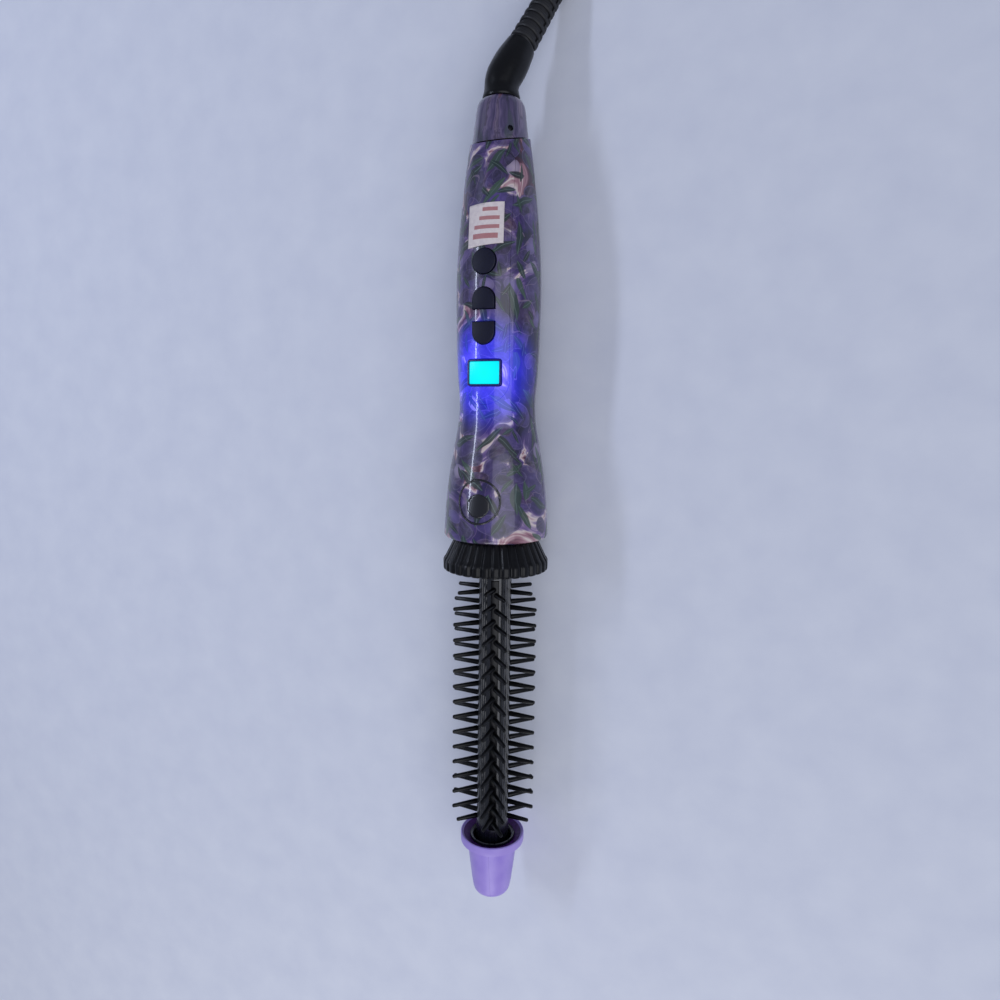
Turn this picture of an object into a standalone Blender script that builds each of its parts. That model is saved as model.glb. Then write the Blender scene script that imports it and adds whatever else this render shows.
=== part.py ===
"""Heated round styling brush with a swivelling mains cord, as an assembly of separate parts.

The brush is drawn standing on its cool tip, with +Z towards the cord and its buttons facing -Y.
The empty brush_axis then lays it down, buttons up, along world +Y. Lengths are in metres.
An angle round the brush is measured from the buttons (front) towards +X, and is called a bearing.
"""

import math

import bmesh
import bpy
from mathutils import Matrix, Vector

MM = 0.001
GAP = 0.3 * MM  # clearance that touching pieces keep
STEPS = 36  # sides of the large turned parts
SMALL_STEPS = 24

# Handle: (height above the tip, outer radius), from the collar to the cap
HANDLE_PROFILE = [
    (157.0, 19.6), (157.5, 20.7), (158.6, 21.2), (170.8, 20.5), (183.3, 19.1), (195.6, 17.0),
    (200.4, 16.05), (204.4, 15.5), (212.7, 15.2), (221.4, 15.9), (235.2, 16.45), (248.4, 16.7),
    (261.9, 16.6), (279.4, 15.4), (296.5, 13.6), (305.0, 12.45), (310.5, 11.6), (318.0, 10.6),
]
HANDLE_WALL = 2.0 * MM
HANDLE_FLOOR = 2.4 * MM
SEAM_Z = 311.0 * MM  # where the slanting seam crosses the axis
SEAM_TILT = math.radians(17.8)  # the front edge of the seam is the lower one
SEAM_WIDTH = 0.5 * MM

# End cap
CAP_PROFILE = [(304.0, 11.55), (311.6, 10.75), (316.0, 10.2), (320.0, 9.75), (322.7, 9.3), (324.4, 8.5),
               (325.2, 7.5)]
CAP_WALL = 1.6 * MM
CAP_PIN_Z = 312.2 * MM
CAP_PIN_BEARING = math.radians(40)
CAP_PIN_R = 0.9 * MM

# Control panel, buttons and display
PANEL_LOW, PANEL_HIGH = 210.5 * MM, 303.0 * MM
PANEL_HALF_WIDTH = 9.4 * MM
PANEL_THICK = 2.0 * MM
PANEL_SEAM = 0.3 * MM
BUTTON_PROUD = 0.7 * MM
BUTTON_TRAVEL = 0.5 * MM
POWER_Z, POWER_R = 263.2 * MM, 4.6 * MM
PLUS_LOW, PLUS_HIGH = 246.0 * MM, 253.8 * MM
MINUS_LOW, MINUS_HIGH = 233.0 * MM, 241.3 * MM
ARCH_HALF_WIDTH = 4.4 * MM
BUTTON_FLANGE = 0.9 * MM
DISPLAY_Z = 222.5 * MM
DISPLAY_WIDTH, DISPLAY_HEIGHT = 12.2 * MM, 8.6 * MM
DISPLAY_FRAME = 0.75 * MM  # width of the dark frame round the glass
DISPLAY_DEPTH = 15.35 * MM  # distance of the glass from the axis
DISPLAY_THICK = 0.9 * MM
LABEL_LOW, LABEL_HIGH = 269.2 * MM, 284.6 * MM
LABEL_HALF_WIDTH = 7.0 * MM
LABEL_THICK = 0.15 * MM
BADGE_Z, BADGE_R = 173.4 * MM, 8.8 * MM
BADGE_THICK = 0.3 * MM

# Electronics
BOARD_THICK = 1.2 * MM
BOARD_WIDTH = 16.0 * MM
BOARD_DEPTH = 9.0 * MM  # distance of the control board's front from the axis
BOARD_LOW, BOARD_HIGH = 215.0 * MM, 279.0 * MM
SWITCH_SIZE, SWITCH_TALL = 4.5 * MM, 1.7 * MM
POWER_BOARD_LOW, POWER_BOARD_HIGH = 182.0 * MM, 246.0 * MM
POWER_BOARD_DEPTH = 1.0 * MM  # behind the axis
CAPACITOR_R, CAPACITOR_LONG = 4.0 * MM, 14.0 * MM
FUSE_R, FUSE_LONG = 1.3 * MM, 9.0 * MM
TRIAC_WIDTH, TRIAC_TALL, TRIAC_THICK = 8.0 * MM, 11.0 * MM, 3.6 * MM
RELAY_SIZE = (8.0 * MM, 6.5 * MM, 12.0 * MM)
CHIP_SIZE, CHIP_THICK = 5.0 * MM, 1.1 * MM

# Shell screws
SCREW_R, SCREW_HEAD_R, SCREW_HEAD_TALL = 1.3 * MM, 2.7 * MM, 1.6 * MM
BOSS_R = 3.3 * MM
SCREW_LOW_Z, SCREW_HIGH_Z = 172.5 * MM, 291.0 * MM
SCREW_SINK = 1.2 * MM  # depth of the screw heads under the surface

# Collar with its flutes
COLLAR_TOP, COLLAR_BOTTOM = 156.7 * MM, 143.7 * MM
COLLAR_TOP_R, COLLAR_R = 17.2 * MM, 21.6 * MM
COLLAR_BAND = 4.0 * MM  # height of the upright lower band
COLLAR_RECESS = 3.0 * MM
FLUTES = 32
FLUTE_DEPTH = 0.9 * MM
SLEEVE_R = 9.0 * MM  # heat-proof sleeve round the top of the barrel
SLEEVE_FLANGE_R, SLEEVE_FLANGE = 12.0 * MM, 2.0 * MM

# Barrel, bristles and heater
BARREL_R, BARREL_WALL = 6.9 * MM, 1.0 * MM
BARREL_LOW, BARREL_HIGH = 19.4 * MM, 166.0 * MM
STRIPS = 4
STRIP_BEARING = math.radians(20)
RAIL_WIDTH, RAIL_DEPTH = 3.0 * MM, 2.0 * MM
RAIL_LOW, RAIL_HIGH = 31.0 * MM, 139.5 * MM
ROWS = 16
FIRST_ROW, ROW_PITCH = 35.0 * MM, 6.65 * MM
BRISTLE_REACH = 17.2 * MM  # distance of the tips from the axis along the strip's own direction
END_ROW_REACH = 15.4 * MM
BRISTLE_SPLAY = math.radians(22)
BRISTLE_SPACING = 0.3 * MM
BRISTLE_STAGGER = 1.15 * MM  # how far each bristle of a row is moved along the strip from the row's middle
BRISTLE_SUNK = 0.35 * MM  # how deep the roots reach into the rail
BRISTLE_ROOT_R, BRISTLE_TIP_R = 1.15 * MM, 0.75 * MM
HEATER_R, HEATER_LOW, HEATER_HIGH = 3.6 * MM, 36.0 * MM, 134.0 * MM
LEAD_R = 0.7 * MM

# Cool tip
TIP_R, TIP_NECK_R, TIP_BOTTOM_R = 13.7 * MM, 10.6 * MM, 7.6 * MM
TIP_TALL, TIP_LIP = 27.0 * MM, 3.8 * MM
TIP_FILLET = 1.3 * MM
INSERT_R, INSERT_LOW, INSERT_HIGH = 9.5 * MM, 13.0 * MM, 26.3 * MM
INSERT_FLOOR = 6.0 * MM

# Cord swivel and strain relief
STEM_R, STEM_LOW = 4.6 * MM, 300.5 * MM
NECK_R, NECK_TOP_R = 7.3 * MM, 6.4 * MM
BEND_Z = 333.0 * MM
BEND = math.radians(29.7)
SWIVEL_TURN = math.radians(41)  # how far the bend hangs below the side
ELBOW_LONG = 16.0 * MM
ELBOW_R, ELBOW_END_R = 6.9 * MM, 5.7 * MM
BOOT_END = 50.0 * MM  # from the bend, along the boot
BOOT_R, BOOT_END_R = 5.5 * MM, 4.6 * MM
BOOT_RIBS = 9
RIB_DEPTH = 0.9 * MM
SLIP_RING_THICK, SLIP_RING_TALL = 1.0 * MM, 2.2 * MM
SLIP_RINGS_Z = (303.2 * MM, 307.4 * MM)
RETAINER_R, RETAINER_THICK = 7.0 * MM, 1.2 * MM

# Mains cord, in world places: its route is chosen by hand and stays as it is
CORD_R = 3.1 * MM
HANK_NEAR, HANK_RUN = 246.0 * MM, 33.5 * MM
HANK_INNER_R = 18.6 * MM  # middle of the inner turns
HANK_COLUMNS, HANK_ROWS = 2, 4
TIE_THICK, TIE_WIDTH = 1.0 * MM, 12.0 * MM
LEAD_ROUTE = [
    (18.84, 201.85, 5.20), (20.0, 204.7, 4.30), (21.0, 207.5, 3.72), (22.2, 211.5, 3.32),
    (23.2, 215.8, 3.20), (24.0, 220.5, 3.22), (24.5, 225.0, 3.35), (24.7, 228.0, 3.50),
]
TAIL_ROUTE = [
    (24.8, 297.6, 21.6), (24.6, 303.5, 19.0), (24.2, 310.0, 15.2), (23.6, 317.0, 10.9),
    (22.7, 324.0, 7.2), (21.5, 331.0, 4.6), (20.0, 338.0, 3.35), (18.3, 344.5, 3.25),
    (16.7, 350.5, 3.9), (15.3, 356.5, 5.1), (14.4, 362.0, 6.1), (14.0, 367.0, 6.5),
]
PLUG_LONG, PLUG_WIDTH, PLUG_TALL = 26.0 * MM, 22.0 * MM, 13.0 * MM
PLUG_RELIEF, PLUG_RELIEF_R = 13.0 * MM, 4.2 * MM
BLADE_LONG, BLADE_WIDE, BLADE_THICK, BLADE_APART = 15.9 * MM, 6.35 * MM, 1.5 * MM, 12.7 * MM

AXIS_HEIGHT = COLLAR_R
SWIVEL_END = BEND_Z + ELBOW_LONG * math.cos(BEND) + ELBOW_END_R * math.sin(BEND)
MIDDLE = SWIVEL_END / 2

for old in list(bpy.data.objects):
    bpy.data.objects.remove(old, do_unlink=True)

brush_parts = bpy.data.collections.new("heated_round_brush")
cutters = bpy.data.collections.new("cutters")
bpy.context.scene.collection.children.link(brush_parts)
bpy.context.scene.collection.children.link(cutters)

brush_axis = bpy.data.objects.new("brush_axis", None)
brush_axis.location = (0, -MIDDLE, AXIS_HEIGHT)
brush_axis.rotation_euler = (-math.pi / 2, 0, 0)
brush_parts.objects.link(brush_axis)
bpy.context.view_layer.update()

COLOURS = {
    "floral_print": ((0.38, 0.27, 0.55), 0.2, 0.0),
    "smeared_print": ((0.33, 0.25, 0.36), 0.22, 0.0),
    "black_gloss": ((0.012, 0.012, 0.018), 0.22, 0.0),
    "black_satin": ((0.02, 0.02, 0.026), 0.5, 0.0),
    "black_rubber": ((0.02, 0.02, 0.022), 0.6, 0.0),
    "cool_lavender": ((0.36, 0.3, 0.85), 0.35, 0.0),
    "button_navy": ((0.015, 0.014, 0.04), 0.2, 0.0),
    "display_cyan": ((0.0, 0.75, 0.95), 0.2, 0.0),
    "display_frame": ((0.01, 0.01, 0.03), 0.15, 0.0),
    "label_cream": ((0.85, 0.8, 0.68), 0.6, 0.0),
    "badge_silver": ((0.5, 0.48, 0.55), 0.3, 0.8),
    "board_green": ((0.02, 0.2, 0.08), 0.5, 0.0),
    "component_black": ((0.03, 0.03, 0.03), 0.5, 0.0),
    "steel": ((0.6, 0.6, 0.6), 0.35, 1.0),
    "brass": ((0.7, 0.5, 0.2), 0.35, 1.0),
    "ceramic_white": ((0.8, 0.8, 0.76), 0.4, 0.0),
    "wire_red": ((0.5, 0.02, 0.02), 0.5, 0.0),
    "glass_clear": ((0.6, 0.6, 0.6), 0.1, 0.0),
}


def material(slot):
    """The Principled material of a slot, made the first time that it is asked for."""
    found = bpy.data.materials.get(slot)
    if found:
        return found
    colour, rough, metal = COLOURS[slot]
    made = bpy.data.materials.new(slot)
    made.use_nodes = True
    shader = made.node_tree.nodes["Principled BSDF"]
    shader.inputs["Base Color"].default_value = (*colour, 1)
    shader.inputs["Roughness"].default_value = rough
    shader.inputs["Metallic"].default_value = metal
    made.diffuse_color = (*colour, 1)
    return made


def added(name, data, slot, on_brush=True):
    """A new object from mesh or curve data, on the brush's axis or in the world."""
    made = bpy.data.objects.new(name, data)
    brush_parts.objects.link(made)
    if slot is not None:
        data.materials.append(material(slot))
    if on_brush:
        made.parent = brush_axis
    return made


def as_cutter(made):
    """Moves an object to the cutters, where it isn't rendered."""
    brush_parts.objects.unlink(made)
    cutters.objects.link(made)
    made.hide_render = True
    made.display_type = "WIRE"
    return made


def boolean(target, tool, operation="DIFFERENCE"):
    """A Boolean modifier on target; tool becomes a cutter."""
    if tool.name not in cutters.objects:
        as_cutter(tool)
    change = target.modifiers.new(operation.lower() + "_" + tool.name, "BOOLEAN")
    change.operation = operation
    change.solver = "EXACT"
    change.object = tool
    return target


def turned(name, outline, slot, steps=STEPS, on_brush=True):
    """A solid of revolution about local Z. outline is (radius, height), from the top of the
    outside downwards, and closes on itself, or on the axis where its ends lie there."""
    mesh = bpy.data.meshes.new(name)
    on_axis = outline[0][0] == 0 and outline[-1][0] == 0
    count = len(outline)
    edges = [(i, i + 1) for i in range(count - 1)]
    if not on_axis:
        edges.append((count - 1, 0))
    mesh.from_pydata([(r, 0, z) for r, z in outline], edges, [])
    made = added(name, mesh, slot, on_brush)
    screw = made.modifiers.new("turn", "SCREW")
    screw.axis = "Z"
    screw.steps = screw.render_steps = steps
    screw.use_merge_vertices = True
    screw.merge_threshold = 0.00001
    screw.use_normal_calculate = False
    return made


def from_bmesh(name, solid, slot, on_brush=True):
    bmesh.ops.recalc_face_normals(solid, faces=solid.faces)
    mesh = bpy.data.meshes.new(name)
    solid.to_mesh(mesh)
    solid.free()
    return added(name, mesh, slot, on_brush)


def block(name, low, high, slot, bevel=0.0, on_brush=True):
    """A box between two corners, with its edges bevelled where bevel is above zero."""
    low, high = Vector(low), Vector(high)
    solid = bmesh.new()
    place = Matrix.Translation((low + high) / 2) @ Matrix.Diagonal((*(high - low), 1))
    bmesh.ops.create_cube(solid, size=1, matrix=place)
    made = from_bmesh(name, solid, slot, on_brush)
    if bevel:
        soften = made.modifiers.new("soften", "BEVEL")
        soften.width = bevel
        soften.segments = 1
        soften.limit_method = "ANGLE"
    return made


def rod(name, start, end, radius, slot, steps=SMALL_STEPS, end_radius=None, on_brush=True):
    """A round bar, or a cone, between two points."""
    start, end = Vector(start), Vector(end)
    along = end - start
    solid = bmesh.new()
    place = Matrix.Translation((start + end) / 2) @ along.to_track_quat("Z", "Y").to_matrix().to_4x4()
    bmesh.ops.create_cone(
        solid, cap_ends=True, segments=steps, radius1=radius,
        radius2=radius if end_radius is None else end_radius, depth=along.length, matrix=place,
    )
    return from_bmesh(name, solid, slot, on_brush)


def extruded(name, outline, near, far, slot, on_brush=True):
    """An outline of (x, z) points made solid between the depths near and far along Y."""
    solid = bmesh.new()
    face = solid.faces.new([solid.verts.new((x, near, z)) for x, z in outline])
    moved = bmesh.ops.extrude_face_region(solid, geom=[face])["geom"]
    bmesh.ops.translate(
        solid, vec=(0, far - near, 0), verts=[v for v in moved if isinstance(v, bmesh.types.BMVert)]
    )
    return from_bmesh(name, solid, slot, on_brush)


def swept(name, stations, slot, sides=20, on_brush=True):
    """A round body along a line. stations is (point, direction, radius) for each ring."""
    solid = bmesh.new()
    rings = []
    for point, direction, radius in stations:
        across = Vector(direction).cross(Vector((0.3, 0.95, 0.1))).normalized()
        other = Vector(direction).cross(across).normalized()
        turns = [2 * math.pi * k / sides for k in range(sides)]
        rings.append([
            solid.verts.new(Vector(point) + radius * (math.cos(a) * across + math.sin(a) * other))
            for a in turns
        ])
    for one, two in zip(rings, rings[1:]):
        for k in range(sides):
            solid.faces.new([one[k], one[(k + 1) % sides], two[(k + 1) % sides], two[k]])
    solid.faces.new(rings[0])
    solid.faces.new(rings[-1])
    return from_bmesh(name, solid, slot, on_brush)


def arc(x, z, radius, start, end, steps):
    """Points of an arc about (x, z), from one angle in degrees to another."""
    turns = [math.radians(start + (end - start) * k / steps) for k in range(steps + 1)]
    return [(x + radius * math.cos(a), z + radius * math.sin(a)) for a in turns]


def around(bearing, radius, z):
    """The point at a bearing, a distance from the axis and a height."""
    return Vector((radius * math.sin(bearing), -radius * math.cos(bearing), z))


def handle_r(z):
    """The handle's outer radius at a height."""
    points = [(h * MM, r * MM) for h, r in HANDLE_PROFILE]
    for (z0, r0), (z1, r1) in zip(points, points[1:]):
        if z <= z1:
            return r0 + (r1 - r0) * (z - z0) / (z1 - z0)
    return points[-1][1]


# Shells: one turned shell, split front and rear, and closed by a floor at the collar

INNER_TOP = HANDLE_PROFILE[-1][0] * MM
SLEEVE_HOLE_R = SLEEVE_R + GAP


def shell_outline():
    outer = [(r * MM, z * MM) for z, r in reversed(HANDLE_PROFILE)]
    floor = HANDLE_PROFILE[0][0] * MM
    inner = [
        (r * MM - HANDLE_WALL, z * MM) for z, r in HANDLE_PROFILE if z * MM > floor + HANDLE_FLOOR
    ]
    return (
        outer
        + [(SLEEVE_HOLE_R, floor), (SLEEVE_HOLE_R, floor + HANDLE_FLOOR)]
        + [(inner[0][0] - 0.6 * MM, floor + HANDLE_FLOOR)]
        + inner
    )


def seam_tool(name, above, offset):
    """A block on one side of the slanting seam, offset along the axis from its middle."""
    size = 60 * MM
    tool = block(name, (-size, -size, 0 if above else -size), (size, size, size if above else 0), None)
    tool.location = (0, 0, SEAM_Z + offset)
    tool.rotation_euler = (SEAM_TILT, 0, 0)
    return tool


def panel_outline(grow):
    """The panel's outline seen from the front: round at its lower end, rounded above."""
    half, corner = PANEL_HALF_WIDTH + grow, 4.0 * MM
    low = PANEL_LOW + PANEL_HALF_WIDTH
    high = PANEL_HIGH + grow
    return (
        arc(0, low, half, 180, 360, 12)
        + arc(half - corner, high - corner, corner, 0, 90, 4)
        + arc(-half + corner, high - corner, corner, 90, 180, 4)
    )


def button_outline(which, grow):
    """The outline of one button: a disc, or an arch with its flat side to the other arch."""
    if which == "power":
        return arc(0, POWER_Z, POWER_R + grow, 0, 345, 23)
    half = ARCH_HALF_WIDTH + grow
    if which == "plus":
        centre = PLUS_HIGH - ARCH_HALF_WIDTH
        return [(-half, PLUS_LOW - grow), (half, PLUS_LOW - grow)] + arc(0, centre, half, 0, 180, 12)
    centre = MINUS_LOW + ARCH_HALF_WIDTH
    return [(half, MINUS_HIGH + grow), (-half, MINUS_HIGH + grow)] + arc(0, centre, half, 180, 360, 12)


BUTTON_MIDDLES = {
    "power": POWER_Z, "plus": (PLUS_LOW + PLUS_HIGH) / 2, "minus": (MINUS_LOW + MINUS_HIGH) / 2,
}


def screw_seat_y(z):
    """Where a screw's head rests in the rear shell, behind the axis."""
    return handle_r(z) - SCREW_SINK - SCREW_HEAD_TALL


def shells():
    front = turned("front_shell", shell_outline(), "floral_print")
    rear = turned("rear_shell", shell_outline(), "floral_print")
    long = 400 * MM
    wide = 60 * MM
    boolean(front, block("front_half", (-wide, -wide, 0), (wide, -GAP / 2, long), None), "INTERSECT")
    boolean(rear, block("rear_half", (-wide, GAP / 2, 0), (wide, wide, long), None), "INTERSECT")
    above = seam_tool("above_seam", True, -SEAM_WIDTH / 2)
    boolean(front, above)
    boolean(rear, above)
    hole = extruded("panel_hole", panel_outline(PANEL_SEAM), -wide, -6 * MM, None)
    boolean(front, hole)
    for name, z in (("low", SCREW_LOW_Z), ("high", SCREW_HIGH_Z)):
        wall = handle_r(z) - HANDLE_WALL / 2
        seat = screw_seat_y(z)
        if name == "low":
            pillar = rod("pillar_" + name, (0, -wall, z), (0, -GAP, z), BOSS_R, None)
            boolean(front, pillar, "UNION")
            boolean(front, rod("pilot_" + name, (0, -8 * MM, z), (0, 1 * MM, z), SCREW_R + GAP, None, 12))
        boss = rod("boss_" + name, (0, GAP, z), (0, wall, z), BOSS_R, None)
        boolean(rear, boss, "UNION")
        boolean(rear, rod("bore_" + name, (0, -MM, z), (0, 2 * wall, z), SCREW_R + GAP, None, 12))
        boolean(rear, rod("sink_" + name, (0, seat, z), (0, 2 * wall, z), SCREW_HEAD_R + GAP, None, 16))
    return front, rear


def screws():
    for name, z in (("low", SCREW_LOW_Z), ("high", SCREW_HIGH_Z)):
        seat = screw_seat_y(z) + GAP
        reach = -6 * MM if name == "low" else 1.5 * MM
        head, slot_half = SCREW_HEAD_TALL - GAP, 0.35 * MM
        outline = [(0, head), (SCREW_HEAD_R * 0.8, head), (SCREW_HEAD_R, head * 0.6), (SCREW_HEAD_R, 0),
                   (SCREW_R, 0), (SCREW_R, reach - seat + MM), (0, reach - seat)]
        made = turned("shell_screw_" + name, outline, "steel", 16)
        made.location = (0, seat, z)
        made.rotation_euler = (-math.pi / 2, 0, 0)
        for turn, cross in enumerate(("a", "b")):
            size = (slot_half, 1.8 * MM) if turn else (1.8 * MM, slot_half)
            tool = block(
                "drive_" + name + cross, (-size[0], seat + head - 0.7 * MM, z - size[1]),
                (size[0], seat + head + MM, z + size[1]), None,
            )
            boolean(made, tool)


def control_panel():
    grow_up = PANEL_HIGH + 12 * MM
    heights = sorted({z * MM for z, _ in HANDLE_PROFILE if PANEL_LOW - 8 * MM < z * MM < grow_up})
    outer = [(handle_r(z), z) for z in reversed(heights)]
    inner = [(handle_r(z) - PANEL_THICK, z) for z in heights]
    panel = turned("control_panel", outer + inner, "floral_print")
    wide = 60 * MM
    boolean(panel, extruded("panel_shape", panel_outline(0), -wide, -4 * MM, None), "INTERSECT")
    for which in BUTTON_MIDDLES:
        boolean(panel, extruded(which + "_hole", button_outline(which, GAP), -wide, -4 * MM, None))
    half_x = DISPLAY_WIDTH / 2 + DISPLAY_FRAME + GAP
    half_z = DISPLAY_HEIGHT / 2 + DISPLAY_FRAME + GAP
    boolean(panel, block("display_hole", (-half_x, -wide, DISPLAY_Z - half_z),
                         (half_x, -4 * MM, DISPLAY_Z + half_z), None))


def buttons():
    """Each button has a flange under the panel, which keeps it in, and stands a little proud."""
    for which, z in BUTTON_MIDDLES.items():
        top = handle_r(z) + BUTTON_PROUD
        under = min(handle_r(z), handle_r(z + 4 * MM)) - PANEL_THICK - 1.2 * MM
        flange_top, flange_low = under - GAP, under - GAP - 0.8 * MM
        made = extruded(which + "_button", button_outline(which, 0), -top, -flange_low, "button_navy")
        rim = extruded(which + "_flange", button_outline(which, BUTTON_FLANGE), -flange_top, -flange_low,
                       None)
        boolean(made, rim, "UNION")
        half = SWITCH_SIZE / 2
        low = BOARD_DEPTH + GAP
        tall = flange_low - BUTTON_TRAVEL - GAP / 2
        block(which + "_switch", (-half, -tall, z - half), (half, -low, z + half), "component_black")


def display():
    half_x, half_z = DISPLAY_WIDTH / 2, DISPLAY_HEIGHT / 2
    wide, tall = half_x + DISPLAY_FRAME, half_z + DISPLAY_FRAME
    back = DISPLAY_DEPTH - 2.2 * MM
    frame = block("display_frame", (-wide, -DISPLAY_DEPTH, DISPLAY_Z - tall),
                  (wide, -back, DISPLAY_Z + tall), "display_frame")
    boolean(frame, block("display_mouth", (-half_x, -2 * DISPLAY_DEPTH, DISPLAY_Z - half_z),
                         (half_x, 0, DISPLAY_Z + half_z), None))
    glass = (half_x - GAP, half_z - GAP)
    front = DISPLAY_DEPTH - 0.2 * MM
    block("display_glass", (-glass[0], -front, DISPLAY_Z - glass[1]),
          (glass[0], -front + DISPLAY_THICK, DISPLAY_Z + glass[1]), "display_cyan")
    block("display_module", (-half_x - 0.2 * MM, -back + GAP, DISPLAY_Z - half_z - 0.2 * MM),
          (half_x + 0.2 * MM, -BOARD_DEPTH - GAP, DISPLAY_Z + half_z + 0.2 * MM), "component_black")


def electronics():
    half = BOARD_WIDTH / 2
    block("control_board", (-half, -BOARD_DEPTH, BOARD_LOW), (half, -BOARD_DEPTH + BOARD_THICK, BOARD_HIGH),
          "board_green")
    chip = CHIP_SIZE / 2
    back = -BOARD_DEPTH + BOARD_THICK + GAP
    middle = (PLUS_HIGH + POWER_Z) / 2
    block("controller_chip", (-chip, back, middle - chip), (chip, back + CHIP_THICK, middle + chip),
          "component_black")
    front = POWER_BOARD_DEPTH
    block("power_board", (-half, front, POWER_BOARD_LOW), (half, front + BOARD_THICK, POWER_BOARD_HIGH),
          "board_green")
    rear = front + BOARD_THICK + GAP
    low = POWER_BOARD_LOW + 3 * MM
    rod("filter_capacitor", (3 * MM, rear + CAPACITOR_R, low), (3 * MM, rear + CAPACITOR_R,
        low + CAPACITOR_LONG), CAPACITOR_R, "component_black", 16)
    rod("mains_fuse", (-5 * MM, rear + FUSE_R, low), (-5 * MM, rear + FUSE_R, low + FUSE_LONG), FUSE_R,
        "glass_clear", 12)
    triac = low + CAPACITOR_LONG + 4 * MM
    block("triac", (-TRIAC_WIDTH / 2, rear, triac), (TRIAC_WIDTH / 2, rear + TRIAC_THICK,
          triac + TRIAC_TALL), "component_black")
    relay = triac + TRIAC_TALL + 3 * MM
    block("relay", (-RELAY_SIZE[0] / 2, rear, relay), (RELAY_SIZE[0] / 2, rear + RELAY_SIZE[1],
          relay + RELAY_SIZE[2]), "component_black", 0.4 * MM)


def end_cap():
    outer = [(r * MM, z * MM) for z, r in reversed(CAP_PROFILE)]
    top = CAP_PROFILE[-1][0] * MM
    hole = STEM_R + GAP
    inner = [(r * MM - CAP_WALL, z * MM) for z, r in CAP_PROFILE[:-2]]
    inner = [(r, z) for r, z in inner if z < top - CAP_WALL]
    outline = outer + inner + [(inner[-1][0] - 0.4 * MM, top - CAP_WALL), (hole, top - CAP_WALL),
                               (hole, top)]
    cap = turned("end_cap", outline, "smeared_print")
    boolean(cap, seam_tool("below_seam", False, SEAM_WIDTH / 2))
    reach = 12 * MM
    inside = around(CAP_PIN_BEARING, reach - 4.5 * MM, CAP_PIN_Z)
    outside = around(CAP_PIN_BEARING, reach + 3 * MM, CAP_PIN_Z)
    boolean(cap, rod("pin_hole", inside, outside, CAP_PIN_R + GAP, None, 12))
    face = around(CAP_PIN_BEARING, 10.1 * MM, CAP_PIN_Z)
    back = around(CAP_PIN_BEARING, 8.6 * MM, CAP_PIN_Z)
    rod("cap_pin", back, face, CAP_PIN_R, "black_gloss", 12)


def label_and_badge():
    """A printed label and a plain badge, both curved like the surface under them."""
    wide = 60 * MM
    points = [LABEL_LOW + (LABEL_HIGH - LABEL_LOW) * k / 4 for k in range(5)]
    stand = 0.15 * MM
    outer = [(handle_r(z) + stand + LABEL_THICK, z) for z in reversed(points)]
    inner = [(handle_r(z) + stand, z) for z in points]
    label = turned("paper_label", outer + inner, "label_cream")
    half = LABEL_HALF_WIDTH
    boolean(label, block("label_shape", (-half, -wide, 0), (half, -4 * MM, 400 * MM), None), "INTERSECT")
    reach = BADGE_R + 2 * MM
    points = [BADGE_Z - reach + 2 * reach * k / 8 for k in range(9)]
    outer = [(handle_r(z) + stand + BADGE_THICK, z) for z in reversed(points)]
    inner = [(handle_r(z) + stand, z) for z in points]
    badge = turned("badge_ring", outer + inner, "badge_silver")
    round_it = rod("badge_shape", (0, -wide, BADGE_Z), (0, -4 * MM, BADGE_Z), BADGE_R, None, 32)
    boolean(badge, round_it, "INTERSECT")
    boolean(badge, rod("badge_mouth", (0, -wide, BADGE_Z), (0, -4 * MM, BADGE_Z), BADGE_R - 1.3 * MM, None,
                       32))


def collar():
    """The fluted heat collar: every third side of the turned form is drawn in as a flute."""
    outline = [
        (COLLAR_TOP_R - 0.7 * MM, COLLAR_TOP), (COLLAR_TOP_R, COLLAR_TOP - 0.5 * MM),
        (COLLAR_R - 0.9 * MM, COLLAR_BOTTOM + COLLAR_BAND + 1.4 * MM),
        (COLLAR_R, COLLAR_BOTTOM + COLLAR_BAND), (COLLAR_R, COLLAR_BOTTOM + 0.8 * MM),
        (COLLAR_R - 0.8 * MM, COLLAR_BOTTOM),
        (COLLAR_R - 2.6 * MM, COLLAR_BOTTOM), (COLLAR_R - 3.4 * MM, COLLAR_BOTTOM + COLLAR_RECESS),
        (SLEEVE_HOLE_R, COLLAR_BOTTOM + COLLAR_RECESS), (SLEEVE_HOLE_R, COLLAR_TOP),
    ]
    sides = 3 * FLUTES
    solid = bmesh.new()
    rings = []
    for k in range(sides):
        turn = 2 * math.pi * k / sides
        ring = []
        for i, (r, z) in enumerate(outline):
            drawn_in = FLUTE_DEPTH if k % 3 == 2 and i < 6 else 0
            ring.append(solid.verts.new(((r - drawn_in) * math.cos(turn), (r - drawn_in) * math.sin(turn), z)))
        rings.append(ring)
    count = len(outline)
    for k in range(sides):
        one, two = rings[k], rings[(k + 1) % sides]
        for i in range(count):
            j = (i + 1) % count
            solid.faces.new([one[i], one[j], two[j], two[i]])
    from_bmesh("heat_collar", solid, "black_satin")


def sleeve():
    inside = BARREL_R + GAP
    flange = HANDLE_PROFILE[0][0] * MM + HANDLE_FLOOR + GAP
    outline = [
        (SLEEVE_R, BARREL_HIGH), (SLEEVE_R, flange + SLEEVE_FLANGE), (SLEEVE_FLANGE_R, flange + SLEEVE_FLANGE),
        (SLEEVE_FLANGE_R, flange), (SLEEVE_R, flange), (SLEEVE_R, COLLAR_BOTTOM + MM),
        (inside, COLLAR_BOTTOM + MM), (inside, BARREL_HIGH),
    ]
    turned("insulating_sleeve", outline, "ceramic_white", 28)


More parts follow.
